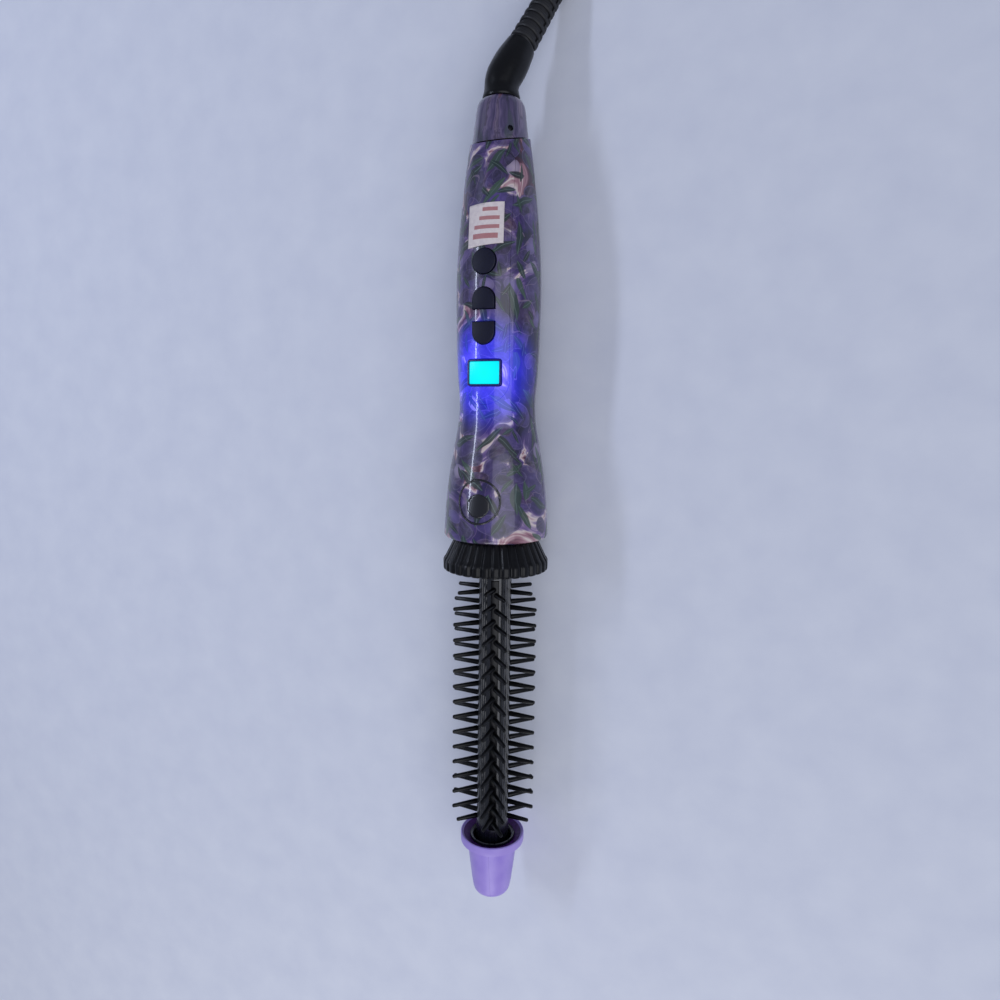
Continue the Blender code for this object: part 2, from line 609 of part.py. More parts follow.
def barrel():
    inside = BARREL_R - BARREL_WALL
    outline = [(BARREL_R, BARREL_HIGH), (BARREL_R, BARREL_LOW), (inside, BARREL_LOW), (inside, BARREL_HIGH)]
    tube = turned("barrel", outline, "black_gloss", 40)
    for k in range(STRIPS):
        half = RAIL_WIDTH / 2 + GAP
        slot = block("strip_slot_%d" % (k + 1), (-half, -2 * BARREL_R, RAIL_LOW - GAP),
                     (half, -2.5 * MM, RAIL_HIGH + GAP), None)
        slot.rotation_euler = (0, 0, STRIP_BEARING + k * 2 * math.pi / STRIPS)
        boolean(tube, slot)


def bristle(solid, start, along, root, tip):
    """Adds one tapered bristle with a rounded end to a bmesh."""
    direction = along.normalized()
    across = direction.cross(Vector((0, 0, 1))).normalized()
    other = direction.cross(across)
    sides = 5
    rings = []
    for share, radius in ((0, root), (1 - tip / along.length, tip), (1 - 0.25 * tip / along.length, 0.7 * tip)):
        rings.append([
            solid.verts.new(start + share * along + radius * (
                math.cos(2 * math.pi * i / sides) * across + math.sin(2 * math.pi * i / sides) * other))
            for i in range(sides)
        ])
    for one, two in zip(rings, rings[1:]):
        for i in range(sides):
            solid.faces.new([one[i], one[(i + 1) % sides], two[(i + 1) % sides], two[i]])
    solid.faces.new(rings[0])
    solid.faces.new(rings[-1])


def bristle_strips():
    """Each strip is a rail in the barrel's slot with a splayed pair of bristles in every row."""
    for k in range(STRIPS):
        half = RAIL_WIDTH / 2
        name = "bristle_strip_%d" % (k + 1)
        face = BARREL_R - 0.15 * MM
        rail = block(name, (-half, -face, RAIL_LOW), (half, -face + RAIL_DEPTH, RAIL_HIGH), "black_satin")
        hand = -1 if k in (0, 3) else 1  # the strips are moulded in two hands
        solid = bmesh.new()
        for row in range(ROWS):
            z = FIRST_ROW + row * ROW_PITCH
            reach = END_ROW_REACH if row in (0, ROWS - 1) else BRISTLE_REACH
            start_y = face - BRISTLE_SUNK
            long = (reach - start_y) / math.cos(BRISTLE_SPLAY)
            for side in (-1, 1):
                along = long * Vector((side * math.sin(BRISTLE_SPLAY), -math.cos(BRISTLE_SPLAY), 0))
                bristle(solid, Vector((side * BRISTLE_SPACING, -start_y, z + hand * side * BRISTLE_STAGGER)), along,
                        BRISTLE_ROOT_R, BRISTLE_TIP_R)
        pairs = from_bmesh("bristles_%d" % (k + 1), solid, None)
        turn = STRIP_BEARING + k * 2 * math.pi / STRIPS
        rail.rotation_euler = pairs.rotation_euler = (0, 0, turn)
        boolean(rail, pairs, "UNION")


def heater():
    rod("heater_core", (0, 0, HEATER_LOW), (0, 0, HEATER_HIGH), HEATER_R, "ceramic_white", 16)
    rod("thermal_fuse", (0, 0, HEATER_HIGH + GAP), (0, 0, HEATER_HIGH + 9 * MM), 1.8 * MM, "steel", 12)
    bead = HEATER_LOW - GAP
    turned("thermistor", [(0, bead), (1.2 * MM, bead - 0.4 * MM), (1.6 * MM, bead - 2 * MM),
                          (1.2 * MM, bead - 3.6 * MM), (0, bead - 4 * MM)], "glass_clear", 12)


def wire(name, points, radius, slot, on_brush=True, bevel_resolution=2):
    """A tube along points, as a poly curve with its ends closed."""
    curve = bpy.data.curves.new(name, "CURVE")
    curve.dimensions = "3D"
    curve.bevel_depth = radius
    curve.bevel_resolution = bevel_resolution
    curve.use_fill_caps = True
    spline = curve.splines.new("POLY")
    spline.points.add(len(points) - 1)
    for point, place in zip(spline.points, points):
        point.co = (*place, 1)
    return added(name, curve, slot, on_brush)


def smooth_line(points, spacing):
    """Points about spacing apart on a smooth curve through the given ones."""
    ends = [2 * Vector(points[0]) - Vector(points[1])] + [Vector(p) for p in points]
    ends.append(2 * Vector(points[-1]) - Vector(points[-2]))
    line = [ends[1]]
    for p0, p1, p2, p3 in zip(ends, ends[1:], ends[2:], ends[3:]):
        count = max(1, round((p2 - p1).length / spacing))
        for k in range(1, count + 1):
            t = k / count
            line.append(0.5 * (2 * p1 + (p2 - p0) * t + (2 * p0 - 5 * p1 + 4 * p2 - p3) * t * t
                               + (3 * p1 - p0 - 3 * p2 + p3) * t * t * t))
    return line


def heater_leads():
    """Two leads from the barrel's top up to the power board, held all the way."""
    for name, x, slot in (("heater_lead_live", 2.6 * MM, "wire_red"),
                          ("heater_lead_neutral", -2.6 * MM, "ceramic_white")):
        low = HEATER_HIGH + 10 * MM
        clear = math.copysign(BOSS_R + LEAD_R + 3 * GAP, x)
        route = [(x, 0, low), (x, 0, BARREL_HIGH - 6 * MM), (clear, -MM, BARREL_HIGH + MM),
                 (clear, -2 * MM, POWER_BOARD_LOW), (clear, -2 * MM, POWER_BOARD_LOW + 12 * MM)]
        wire(name, smooth_line(route, 8 * MM), LEAD_R, slot, bevel_resolution=1)


def cool_tip():
    neck = TIP_TALL - TIP_LIP
    mouth = INSERT_R + GAP
    floor = INSERT_LOW - GAP
    pilot = SCREW_R + GAP
    outline = [
        (TIP_R - 0.6 * MM, TIP_TALL), (TIP_R, TIP_TALL - 0.6 * MM), (TIP_R, neck + 0.5 * MM),
        (TIP_R - 0.5 * MM, neck), (TIP_NECK_R, neck - 0.5 * MM), (TIP_NECK_R - 0.1 * MM, neck - 2 * MM),
        (TIP_BOTTOM_R + 0.35 * TIP_FILLET, TIP_FILLET * 1.6), (TIP_BOTTOM_R, TIP_FILLET * 0.7),
        (TIP_BOTTOM_R - TIP_FILLET, 0), (0, 0), (0, floor - 7 * MM), (pilot, floor - 7 * MM),
        (pilot, floor), (mouth - 2.2 * MM, floor), (mouth - 2.2 * MM, floor + 4 * MM),
        (mouth, floor + 8 * MM), (mouth, INSERT_HIGH - 0.6 * MM),
    ]
    # the outline runs from the pilot hole's end on the axis, out over the mouth and down to the bottom
    bottom = next(i for i, (r, _) in enumerate(outline) if r == 0)
    turned("cool_tip", outline[bottom + 1:] + outline[:bottom + 1], "cool_lavender")


def tip_inside():
    bore = BARREL_R + GAP
    low = INSERT_LOW
    hole = SCREW_R + GAP
    narrow = INSERT_R - 2.2 * MM
    outline = [
        (INSERT_R - 0.5 * MM, INSERT_HIGH), (INSERT_R, INSERT_HIGH - 0.5 * MM), (INSERT_R, low + 8.2 * MM),
        (narrow, low + 4.2 * MM), (narrow, low), (hole, low), (hole, low + INSERT_FLOOR),
        (bore, low + INSERT_FLOOR), (bore, INSERT_HIGH),
    ]
    turned("tip_insert", outline, "black_gloss", 40)
    seat = low + INSERT_FLOOR + GAP
    head = [(0, seat + SCREW_HEAD_TALL), (SCREW_HEAD_R * 0.8, seat + SCREW_HEAD_TALL), (SCREW_HEAD_R, seat + MM),
            (SCREW_HEAD_R, seat), (SCREW_R, seat), (SCREW_R, low - 4 * MM), (0, low - 5 * MM)]
    turned("tip_screw", head, "steel", 16)


def swivel():
    """The cord's swivel: stem, slip rings and bend turn together about the handle's axis."""
    cap_top = CAP_PROFILE[-1][0] * MM
    up = Vector((0, 0, 1))
    side = Vector((math.cos(SWIVEL_TURN), math.sin(SWIVEL_TURN), 0))
    tilted = math.sin(BEND) * side + math.cos(BEND) * up
    pivot = Vector((0, 0, BEND_Z))
    neck = cap_top + GAP
    stations = [((0, 0, STEM_LOW), up, STEM_R - 0.4 * MM), ((0, 0, STEM_LOW + 0.5 * MM), up, STEM_R),
                ((0, 0, neck), up, STEM_R), ((0, 0, neck), up, NECK_R), ((0, 0, neck + 1.2 * MM), up, NECK_R)]
    stations += [((0, 0, neck + 3 * MM), up, NECK_TOP_R + 0.4 * MM)]
    reach, bends = 3.2 * MM, 5
    for k in range(bends + 1):
        share = k / bends
        turn = share * BEND
        before, after = pivot - reach * up, pivot + reach * tilted
        point = (1 - share) ** 2 * before + 2 * share * (1 - share) * pivot + share ** 2 * after
        direction = math.sin(turn) * side + math.cos(turn) * up
        stations.append((point, direction, NECK_TOP_R + (ELBOW_R - NECK_TOP_R) * share))
    for share, radius in ((0.45, ELBOW_R), (0.7, ELBOW_R - 0.45 * MM), (1, ELBOW_END_R)):
        stations.append((pivot + share * ELBOW_LONG * tilted, tilted, radius))
    swept("swivel_elbow", stations, "black_satin", 24)

    start, end = ELBOW_LONG + GAP, BOOT_END
    pitch = (end - start) / BOOT_RIBS
    ribs = []
    for k in range(BOOT_RIBS):
        near = start + k * pitch
        radius = BOOT_R + (BOOT_END_R - BOOT_R) * k / (BOOT_RIBS - 1)
        for share, depth in ((0.0, RIB_DEPTH), (0.18, 0), (0.62, 0), (0.8, RIB_DEPTH)):
            ribs.append((pivot + (near + share * pitch) * tilted, tilted, radius - depth))
    ribs.append((pivot + end * tilted, tilted, BOOT_END_R - 0.3 * MM))
    swept("strain_relief", ribs, "black_rubber", 16)

    for k, z in enumerate(SLIP_RINGS_Z):
        inside, outside = STEM_R + GAP, STEM_R + GAP + SLIP_RING_THICK
        top = z + SLIP_RING_TALL
        turned("slip_ring_%d" % (k + 1), [(outside, top), (outside, z), (inside, z), (inside, top)], "brass",
               24)
        contact = outside + GAP
        block("brush_contact_%d" % (k + 1), (-1.2 * MM, contact, z + 0.3 * MM),
              (1.2 * MM, contact + 1.4 * MM, top - 0.3 * MM), "brass")
    low = cap_top - CAP_WALL - GAP - RETAINER_THICK
    inside = STEM_R + GAP
    turned("swivel_retainer", [(RETAINER_R, low + RETAINER_THICK), (RETAINER_R, low), (inside, low),
                               (inside, low + RETAINER_THICK)], "steel", 24)


# Mains cord and plug, in world places

def hank_outline(half):
    """A long outline with round ends about the hank's two end centres, as (x, y)."""
    far = HANK_NEAR + HANK_RUN
    return arc(0, HANK_NEAR, half, 180, 360, 14) + arc(0, far, half, 0, 180, 14)


def cord_and_plug():
    places = [[tuple(v * MM for v in p) for p in route] for route in (LEAD_ROUTE, TAIL_ROUTE)]
    wire("cord_lead", smooth_line(places[0], 5 * CORD_R), CORD_R, "black_rubber", False)
    wire("cord_tail", smooth_line(places[1], 5 * CORD_R), CORD_R, "black_rubber", False)

    base = TIE_THICK + GAP
    top = base + 2 * CORD_R * HANK_ROWS
    outside = HANK_INNER_R + CORD_R * (2 * HANK_COLUMNS - 1)
    inside = HANK_INNER_R - CORD_R
    solid = bmesh.new()
    outer, inner = hank_outline(outside), hank_outline(inside)
    loops = [[solid.verts.new((x, y, z)) for x, y in line] for line in (outer, inner) for z in (base, top)]
    count = len(outer)
    for i in range(count):
        j = (i + 1) % count
        for one, two in ((0, 1), (1, 3), (3, 2), (2, 0)):
            solid.faces.new([loops[one][i], loops[one][j], loops[two][j], loops[two][i]])
    from_bmesh("cord_hank", solid, "black_rubber", False)

    middle = HANK_NEAR + HANK_RUN / 2
    near, far = middle - TIE_WIDTH / 2, middle + TIE_WIDTH / 2
    tie = block("cord_tie", (-outside - GAP - TIE_THICK, near, 0), (-inside + GAP + TIE_THICK, far,
                top + GAP + TIE_THICK), "black_satin", 0.6 * MM, False)
    mouth = block("tie_mouth", (-outside - GAP, near - MM, base - GAP), (-inside + GAP, far + MM, top + GAP),
                  None, 0, False)
    boolean(tie, mouth)

    end = Vector(places[1][-1])
    relief = end.y + GAP
    body = relief + PLUG_RELIEF
    x, z = end.x, end.z
    plug = block("plug_body", (x - PLUG_WIDTH / 2, body, z - PLUG_TALL / 2),
                 (x + PLUG_WIDTH / 2, body + PLUG_LONG, z + PLUG_TALL / 2), "black_rubber", 2.2 * MM, False)
    cone = rod("plug_relief", (x, relief, z), (x, body + 2 * MM, z), PLUG_RELIEF_R, None, 16, 5.6 * MM, False)
    boolean(plug, cone, "UNION")
    blades = body + PLUG_LONG + GAP
    for name, off in (("left", -BLADE_APART / 2), ("right", BLADE_APART / 2)):
        block("plug_blade_" + name, (x + off - BLADE_THICK / 2, blades, z - BLADE_WIDE / 2),
              (x + off + BLADE_THICK / 2, blades + BLADE_LONG, z + BLADE_WIDE / 2), "steel", 0, False)


shells()
screws()
control_panel()
buttons()
display()
electronics()
end_cap()
label_and_badge()
collar()
sleeve()
barrel()
bristle_strips()
heater()
heater_leads()
cool_tip()
tip_inside()
swivel()
cord_and_plug()
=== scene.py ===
"""Looks of a heated round styling brush: printed handle, display, fluted collar, bristles, cool tip and cord."""

import math

import bpy
from mathutils import Matrix, Vector


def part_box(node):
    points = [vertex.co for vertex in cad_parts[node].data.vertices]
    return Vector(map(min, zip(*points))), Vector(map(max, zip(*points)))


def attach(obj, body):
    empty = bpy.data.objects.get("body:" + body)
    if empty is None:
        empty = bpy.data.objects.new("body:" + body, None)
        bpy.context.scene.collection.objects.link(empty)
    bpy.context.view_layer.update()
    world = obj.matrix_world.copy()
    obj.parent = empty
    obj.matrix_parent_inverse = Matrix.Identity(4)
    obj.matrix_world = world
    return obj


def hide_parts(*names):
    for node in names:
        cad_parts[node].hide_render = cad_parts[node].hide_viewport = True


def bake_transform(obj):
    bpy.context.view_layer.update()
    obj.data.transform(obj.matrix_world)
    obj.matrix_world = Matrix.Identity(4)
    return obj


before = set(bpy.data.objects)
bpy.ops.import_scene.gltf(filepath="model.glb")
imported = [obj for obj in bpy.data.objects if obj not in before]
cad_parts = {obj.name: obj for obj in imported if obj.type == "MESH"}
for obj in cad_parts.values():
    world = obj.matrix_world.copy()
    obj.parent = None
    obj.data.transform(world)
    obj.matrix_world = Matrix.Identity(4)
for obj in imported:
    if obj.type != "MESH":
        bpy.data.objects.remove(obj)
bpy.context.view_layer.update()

# ---------------------------------------------------------------- the brush's line and the camera
# The brush lies along Y with its buttons up. The camera looks down on it from the buttons'
# right, a little towards the cord's end, with a short lens close by.
MM = 0.001
tip_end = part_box("cool_tip")[0].y
collar_low, collar_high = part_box("heat_collar")
axis_z = (collar_low.z + collar_high.z) / 2

view_distance, view_side, view_lean, view_roll = 275 * MM, math.radians(20), math.radians(7), math.radians(0.75)
looked_at = Vector((0, tip_end + 172 * MM, axis_z))
towards = math.cos(view_lean) * Vector((math.sin(view_side), 0, math.cos(view_side)))
towards += math.sin(view_lean) * Vector((0, 1, 0))
right = Vector((0, 1, 0)).cross(towards).normalized()
upward = towards.cross(right)
turned_view = Matrix((right, upward, towards)).transposed().to_4x4() @ Matrix.Rotation(view_roll, 4, "Z")
bpy.ops.object.camera_add(location=looked_at + view_distance * towards + 1.5 * MM * right)
camera = bpy.context.object
camera.rotation_euler = turned_view.to_euler()
camera.data.sensor_width = 36
camera.data.lens = 24.1
camera.data.clip_start = 0.01
bpy.context.scene.camera = camera

# ---------------------------------------------------------------- cord
# Round two-core mains flex with a soft PVC jacket, 1.8 m from the strain relief to the plug. It
# lies on the table and is folded into a flat hank of eight turns, held on one side by a strap.
cord_radius = 3.1 * MM
hank_near, hank_far, strap_base = 246 * MM, 279.5 * MM, 1.3 * MM
inner_turn, turns_in_hank = 18.6 * MM, 8
lead_points = [
    (18.84, 201.85, 5.20), (20.0, 204.7, 4.30), (21.0, 207.5, 3.72), (22.2, 211.5, 3.32),
    (23.2, 215.8, 3.20), (24.0, 220.5, 3.22), (24.5, 225.0, 3.35), (24.7, 228.0, 3.50),
    (24.8, 234.0, 3.9), (24.8, 240.0, 4.3),
]
tail_points = [
    (24.8, 285.0, 22.9), (24.8, 291.5, 22.6), (24.8, 297.6, 21.6), (24.6, 303.5, 19.0), (24.2, 310.0, 15.2),
    (23.6, 317.0, 10.9), (22.7, 324.0, 7.2), (21.5, 331.0, 4.6), (20.0, 338.0, 3.35), (18.3, 344.5, 3.25),
    (16.7, 350.5, 3.9), (15.3, 356.5, 5.1), (14.4, 362.0, 6.1), (14.0, 367.0, 6.5),
]


def smoothly(points, spacing):
    """Points about spacing apart on a smooth curve through the given ones."""
    ends = [2 * points[0] - points[1], *points, 2 * points[-1] - points[-2]]
    line = [ends[1]]
    for p0, p1, p2, p3 in zip(ends, ends[1:], ends[2:], ends[3:]):
        count = max(1, round((p2 - p1).length / spacing))
        for k in range(1, count + 1):
            t = k / count
            line.append(0.5 * (2 * p1 + (p2 - p0) * t + (2 * p0 - 5 * p1 + 4 * p2 - p3) * t * t
                               + (3 * p1 - p0 - 3 * p2 + p3) * t * t * t))
    return line


def hank_turns():
    """The folded turns: out along one side, round the far end, back, and round the near end. Each
    turn moves to its neighbour's place a little earlier than the turn before it did."""
    slots = []
    for row in range(turns_in_hank // 2):
        columns = (1, 0) if row % 2 == 0 else (0, 1)
        slots += [(inner_turn + 2 * cord_radius * c, strap_base + cord_radius * (1 + 2 * row)) for c in columns]
    run = hank_far - hank_near
    line = []
    for turn in range(turns_in_hank):
        here, after = slots[turn], slots[min(turn + 1, turns_in_hank - 1)]
        for k in range(56):
            share = k / 56
            moved = min(1, max(0, (share - (0.865 - 0.11 * turn)) / 0.11))
            moved = moved * moved * (3 - 2 * moved)
            r, z = (a + (b - a) * moved for a, b in zip(here, after))
            along = share * (2 * run + 2 * math.pi * r)
            if along < run:
                line.append(Vector((r, hank_near + along, z)))
            elif along < run + math.pi * r:
                a = (along - run) / r
                line.append(Vector((r * math.cos(a), hank_far + r * math.sin(a), z)))
            elif along < 2 * run + math.pi * r:
                line.append(Vector((-r, hank_far - (along - run - math.pi * r), z)))
            else:
                a = math.pi + (along - 2 * run - math.pi * r) / r
                line.append(Vector((r * math.cos(a), hank_near + r * math.sin(a), z)))
    return line + [Vector((r, hank_near + run * k / 8, z)) for k in range(9)]


lead = smoothly([Vector(p) * MM for p in lead_points], 2.2 * MM)
tail = smoothly([Vector(p) * MM for p in tail_points], 2.2 * MM)
cord_line = lead + hank_turns() + tail
cord_curve = bpy.data.curves.new("mains_cord", "CURVE")
cord_curve.dimensions = "3D"
cord_curve.bevel_depth = cord_radius
cord_curve.bevel_resolution = 4
cord_curve.use_fill_caps = True
spline = cord_curve.splines.new("POLY")
spline.points.add(len(cord_line) - 1)
for point, place in zip(spline.points, cord_line):
    point.co = (*place, 1)
cord = bpy.data.objects.new("mains_cord", cord_curve)
bpy.context.collection.objects.link(cord)
bpy.ops.object.select_all(action="DESELECT")
cord.select_set(True)
bpy.context.view_layer.objects.active = cord
bpy.ops.object.convert(target="MESH")
cord = bpy.context.object
bpy.ops.object.shade_smooth()


def colour(code):
    """An sRGB hex code as linear red, green, blue and alpha."""
    parts = [int(code[i:i + 2], 16) / 255 for i in (0, 2, 4)]
    return tuple(c / 12.92 if c <= 0.04045 else ((c + 0.055) / 1.055) ** 2.4 for c in parts) + (1.0,)


def new_material(name):
    """A material with its shader: (material, shader node)."""
    made = bpy.data.materials.new(name)
    made.use_nodes = True
    return made, made.node_tree.nodes["Principled BSDF"]


def add_node(material, kind, inputs=None, **settings):
    """Adds one node. inputs maps socket names or numbers to values, or to sockets to link from."""
    made = material.node_tree.nodes.new(kind)
    for key, value in settings.items():
        setattr(made, key, value)
    for key, value in (inputs or {}).items():
        if isinstance(value, bpy.types.NodeSocket):
            material.node_tree.links.new(value, made.inputs[key])
        else:
            made.inputs[key].default_value = value
    return made


# soft black PVC: a low sheen, with the fine drag lines of its extrusion and a little dust
jacket, jacket_shader = new_material("extruded_black_pvc")
jacket_place = add_node(jacket, "ShaderNodeTexCoord").outputs["Object"]
jacket_dust = add_node(jacket, "ShaderNodeTexNoise", {"Vector": jacket_place, "Scale": 900.0, "Detail": 6.0})
jacket_tone = add_node(jacket, "ShaderNodeMix", {"Factor": jacket_dust.outputs["Fac"]}, data_type="RGBA")
jacket_tone.inputs[6].default_value, jacket_tone.inputs[7].default_value = colour("0b0b0d"), colour("1c1c20")
jacket_bump = add_node(jacket, "ShaderNodeBump", {
    "Height": jacket_dust.outputs["Fac"], "Strength": 0.25, "Distance": 0.00005})
jacket.node_tree.links.new(jacket_tone.outputs[2], jacket_shader.inputs["Base Color"])
jacket.node_tree.links.new(jacket_bump.outputs["Normal"], jacket_shader.inputs["Normal"])
jacket_shader.inputs["Roughness"].default_value = 0.48
cord.data.materials.append(jacket)
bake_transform(cord)
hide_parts("cord_lead", "cord_hank", "cord_tail")

# ---------------------------------------------------------------- table and lights
# A plain pale table top, a wide soft box high on the right, a narrow one on the left that draws
# the long highlight down the handle, and a small one beyond the tip.
bpy.ops.object.select_all(action="DESELECT")
bpy.ops.mesh.primitive_plane_add(size=6, location=(0, 0, 0))
table = bpy.context.object
table.name = "table_top"
tabletop, tabletop_shader = new_material("matt_painted_board")
tabletop_place = add_node(tabletop, "ShaderNodeTexCoord").outputs["Object"]
tabletop_mottle = add_node(tabletop, "ShaderNodeTexNoise", {"Vector": tabletop_place, "Scale": 60.0, "Detail": 5.0})
tabletop_tone = add_node(tabletop, "ShaderNodeMix", {"Factor": tabletop_mottle.outputs["Fac"]}, data_type="RGBA")
tabletop_tone.inputs[6].default_value, tabletop_tone.inputs[7].default_value = colour("c9cddb"), colour("dadde6")
tabletop.node_tree.links.new(tabletop_tone.outputs[2], tabletop_shader.inputs["Base Color"])
tabletop_shader.inputs["Roughness"].default_value = 0.85
table.data.materials.append(tabletop)

world = bpy.data.worlds.new("studio")
world.use_nodes = True
world.node_tree.nodes["Background"].inputs["Color"].default_value = colour("c3cbe2")
world.node_tree.nodes["Background"].inputs["Strength"].default_value = 0.44
bpy.context.scene.world = world
bpy.context.scene.view_settings.view_transform = "Standard"

for name, place, wide, long, power, tint in (
    ("left_strip_box", (-0.52, 0.22, 0.58), 0.05, 0.5, 1.5, "dfe8ff"),
    ("overhead_box", (1.2, -0.35, 1.7), 2.0, 2.0, 22.0, "f3f5fb"),
    ("tip_box", (0.1, -0.9, 0.45), 0.5, 0.5, 2.6, "ffffff"),
):
    bpy.ops.object.light_add(type="AREA", location=place)
    lamp = bpy.context.object
    lamp.name = name
    lamp.data.shape = "RECTANGLE"
    lamp.data.size, lamp.data.size_y = long, wide
    lamp.data.energy = power
    lamp.data.color = colour(tint)[:3]
    lamp.rotation_euler = (Vector((0, place[1] * 0.9, axis_z)) - Vector(place)).to_track_quat("-Z", "Y").to_euler()

# ---------------------------------------------------------------- handle shells
# Two injection-moulded ABS halves under an all-over floral film, lacquered to a high gloss. Each
# is turned as one bottle form, cut in half, and cut off at the slanting seam under the cap.
handle_line = [
    (157.0, 19.6), (157.5, 20.7), (158.6, 21.2), (170.8, 20.5), (183.3, 19.1), (195.6, 17.0),
    (200.4, 16.05), (204.4, 15.5), (212.7, 15.2), (221.4, 15.9), (235.2, 16.45), (248.4, 16.7),
    (261.9, 16.6), (279.4, 15.4), (296.5, 13.6), (305.0, 12.45), (310.5, 11.6), (318.0, 10.6),
]
handle_wall, seam_middle, seam_half, seam_tilt = 2.0, 311.0, 0.25, math.radians(17.8)
sleeve_hole = 9.3


def lift(height):
    """World Y of a height above the cool tip's end, in millimetres."""
    return tip_end + height * MM


def handle_radius(height):
    """The handle's radius at a height, in millimetres, on a smooth curve through handle_line."""
    i = max(1, next((k for k, (h, _) in enumerate(handle_line) if height <= h), len(handle_line) - 1))
    (h0, r0), (h1, r1) = handle_line[i - 1], handle_line[i]
    before = handle_line[i - 2] if i > 1 else (h0 - 1, r0)
    after = handle_line[i + 1] if i + 1 < len(handle_line) else (h1 + 1, 2 * r1 - r0)
    if h0 < 159:
        before = (h0 - 1, r0)
    m0 = (r1 - before[1]) / (h1 - before[0]) if h0 >= 170 else (r1 - r0) / (h1 - h0)
    m1 = (after[1] - r0) / (after[0] - h0) if h0 >= 158 else (r1 - r0) / (h1 - h0)
    t, span = (height - h0) / (h1 - h0), h1 - h0
    return (r0 * (2 * t**3 - 3 * t**2 + 1) + m0 * span * (t**3 - 2 * t**2 + t)
            + r1 * (-2 * t**3 + 3 * t**2) + m1 * span * (t**3 - t**2))


def draw_line(name, points):
    """A closed outline through points, drawn by extruding a single corner along them."""
    bpy.ops.object.select_all(action="DESELECT")
    bpy.ops.mesh.primitive_plane_add(size=0.001, location=points[0])
    drawn = bpy.context.object
    drawn.name = name
    bpy.ops.object.mode_set(mode="EDIT")
    bpy.ops.mesh.select_mode(type="VERT")
    bpy.ops.mesh.merge(type="CENTER")
    for one, two in zip(points, points[1:]):
        bpy.ops.mesh.extrude_region_move(TRANSFORM_OT_translate={"value": Vector(two) - Vector(one)})
    bpy.ops.object.mode_set(mode="OBJECT")
    for vertex in drawn.data.vertices:
        vertex.select = len([e for e in drawn.data.edges if vertex.index in e.vertices]) == 1
    bpy.ops.object.mode_set(mode="EDIT")
    bpy.ops.mesh.edge_face_add()
    bpy.ops.object.mode_set(mode="OBJECT")
    return drawn


def turn_on_lathe(name, outline, steps=144, sharp=35):
    """A turned form on the brush's line. outline is (radius, height above the tip) in millimetres."""
    turned = draw_line(name, [(r * MM, lift(h), axis_z) for r, h in outline])
    bpy.ops.object.mode_set(mode="EDIT")
    bpy.ops.mesh.select_all(action="SELECT")
    bpy.ops.mesh.spin(steps=steps, angle=2 * math.pi, center=(0, 0, axis_z), axis=(0, 1, 0))
    bpy.ops.mesh.select_all(action="SELECT")
    bpy.ops.mesh.remove_doubles(threshold=0.000005)
    bpy.ops.mesh.normals_make_consistent(inside=False)
    bpy.ops.object.mode_set(mode="OBJECT")
    bpy.ops.object.transform_apply(location=True, rotation=True, scale=True)
    bpy.ops.object.shade_smooth_by_angle(angle=math.radians(sharp))
    return turned


def prism(name, outline, low, high):
    """A solid with an outline of (x, height above the tip) in millimetres, between two world heights."""
    solid = draw_line(name, [(x * MM, lift(h), low) for x, h in outline])
    bpy.ops.object.mode_set(mode="EDIT")
    bpy.ops.mesh.select_all(action="SELECT")
    bpy.ops.mesh.edge_face_add()
    bpy.ops.mesh.extrude_region_move(TRANSFORM_OT_translate={"value": (0, 0, high - low)})
    bpy.ops.mesh.select_all(action="SELECT")
    bpy.ops.mesh.normals_make_consistent(inside=False)
    bpy.ops.object.mode_set(mode="OBJECT")
    bpy.ops.object.transform_apply(location=True, rotation=True, scale=True)
    return solid


def carve(piece, tool, operation="DIFFERENCE"):
    """Applies one Boolean to a piece, and throws the tool away."""
    bpy.ops.object.select_all(action="DESELECT")
    bpy.context.view_layer.objects.active = piece
    piece.select_set(True)
    cut = piece.modifiers.new("carve", "BOOLEAN")
    cut.operation, cut.solver, cut.object = operation, "EXACT", tool
    bpy.ops.object.modifier_apply(modifier=cut.name)
    bpy.data.objects.remove(tool, do_unlink=True)
    return piece


def big_block(name, low, high):
    """A plain block for cutting with, between two corners in metres."""
    bpy.ops.object.select_all(action="DESELECT")
    bpy.ops.mesh.primitive_cube_add(size=1, location=(Vector(low) + Vector(high)) / 2)
    block = bpy.context.object
    block.name = name
    block.scale = Vector(high) - Vector(low)
    bpy.ops.object.transform_apply(location=False, rotation=True, scale=True)
    return block


def soften(piece, width, segments=2, angle=40):
    """Rounds a piece's edges with an applied bevel, and smooths its shading."""
    bpy.ops.object.select_all(action="DESELECT")
    bpy.context.view_layer.objects.active = piece
    piece.select_set(True)
    bevel = piece.modifiers.new("soften", "BEVEL")
    bevel.width, bevel.segments, bevel.limit_method = width, segments, "ANGLE"
    bevel.angle_limit = math.radians(angle)
    bevel.harden_normals = False
    bpy.ops.object.modifier_apply(modifier=bevel.name)
    bpy.ops.object.shade_smooth_by_angle(angle=math.radians(35))
    return piece


def arc(x, h, radius, start, end, steps):
    """Points of an arc in millimetres, from one angle in degrees to another."""
    turns = [math.radians(start + (end - start) * k / steps) for k in range(steps + 1)]
    return [(x + radius * math.cos(a), h + radius * math.sin(a)) for a in turns]


def above_seam(name, offset, upper):
    """A block on one side of the slanting seam, offset along the brush in millimetres."""
    side = 0.1
    block = big_block(name, (-side, 0 if upper else -side, -side), (side, side if upper else 0, side))
    for vertex in block.data.vertices:
        vertex.co.y += side / 2 if upper else -side / 2
    block.rotation_euler = (seam_tilt, 0, 0)
    block.location = (0, lift(seam_middle + offset), axis_z)
    bpy.context.view_layer.update()
    return block


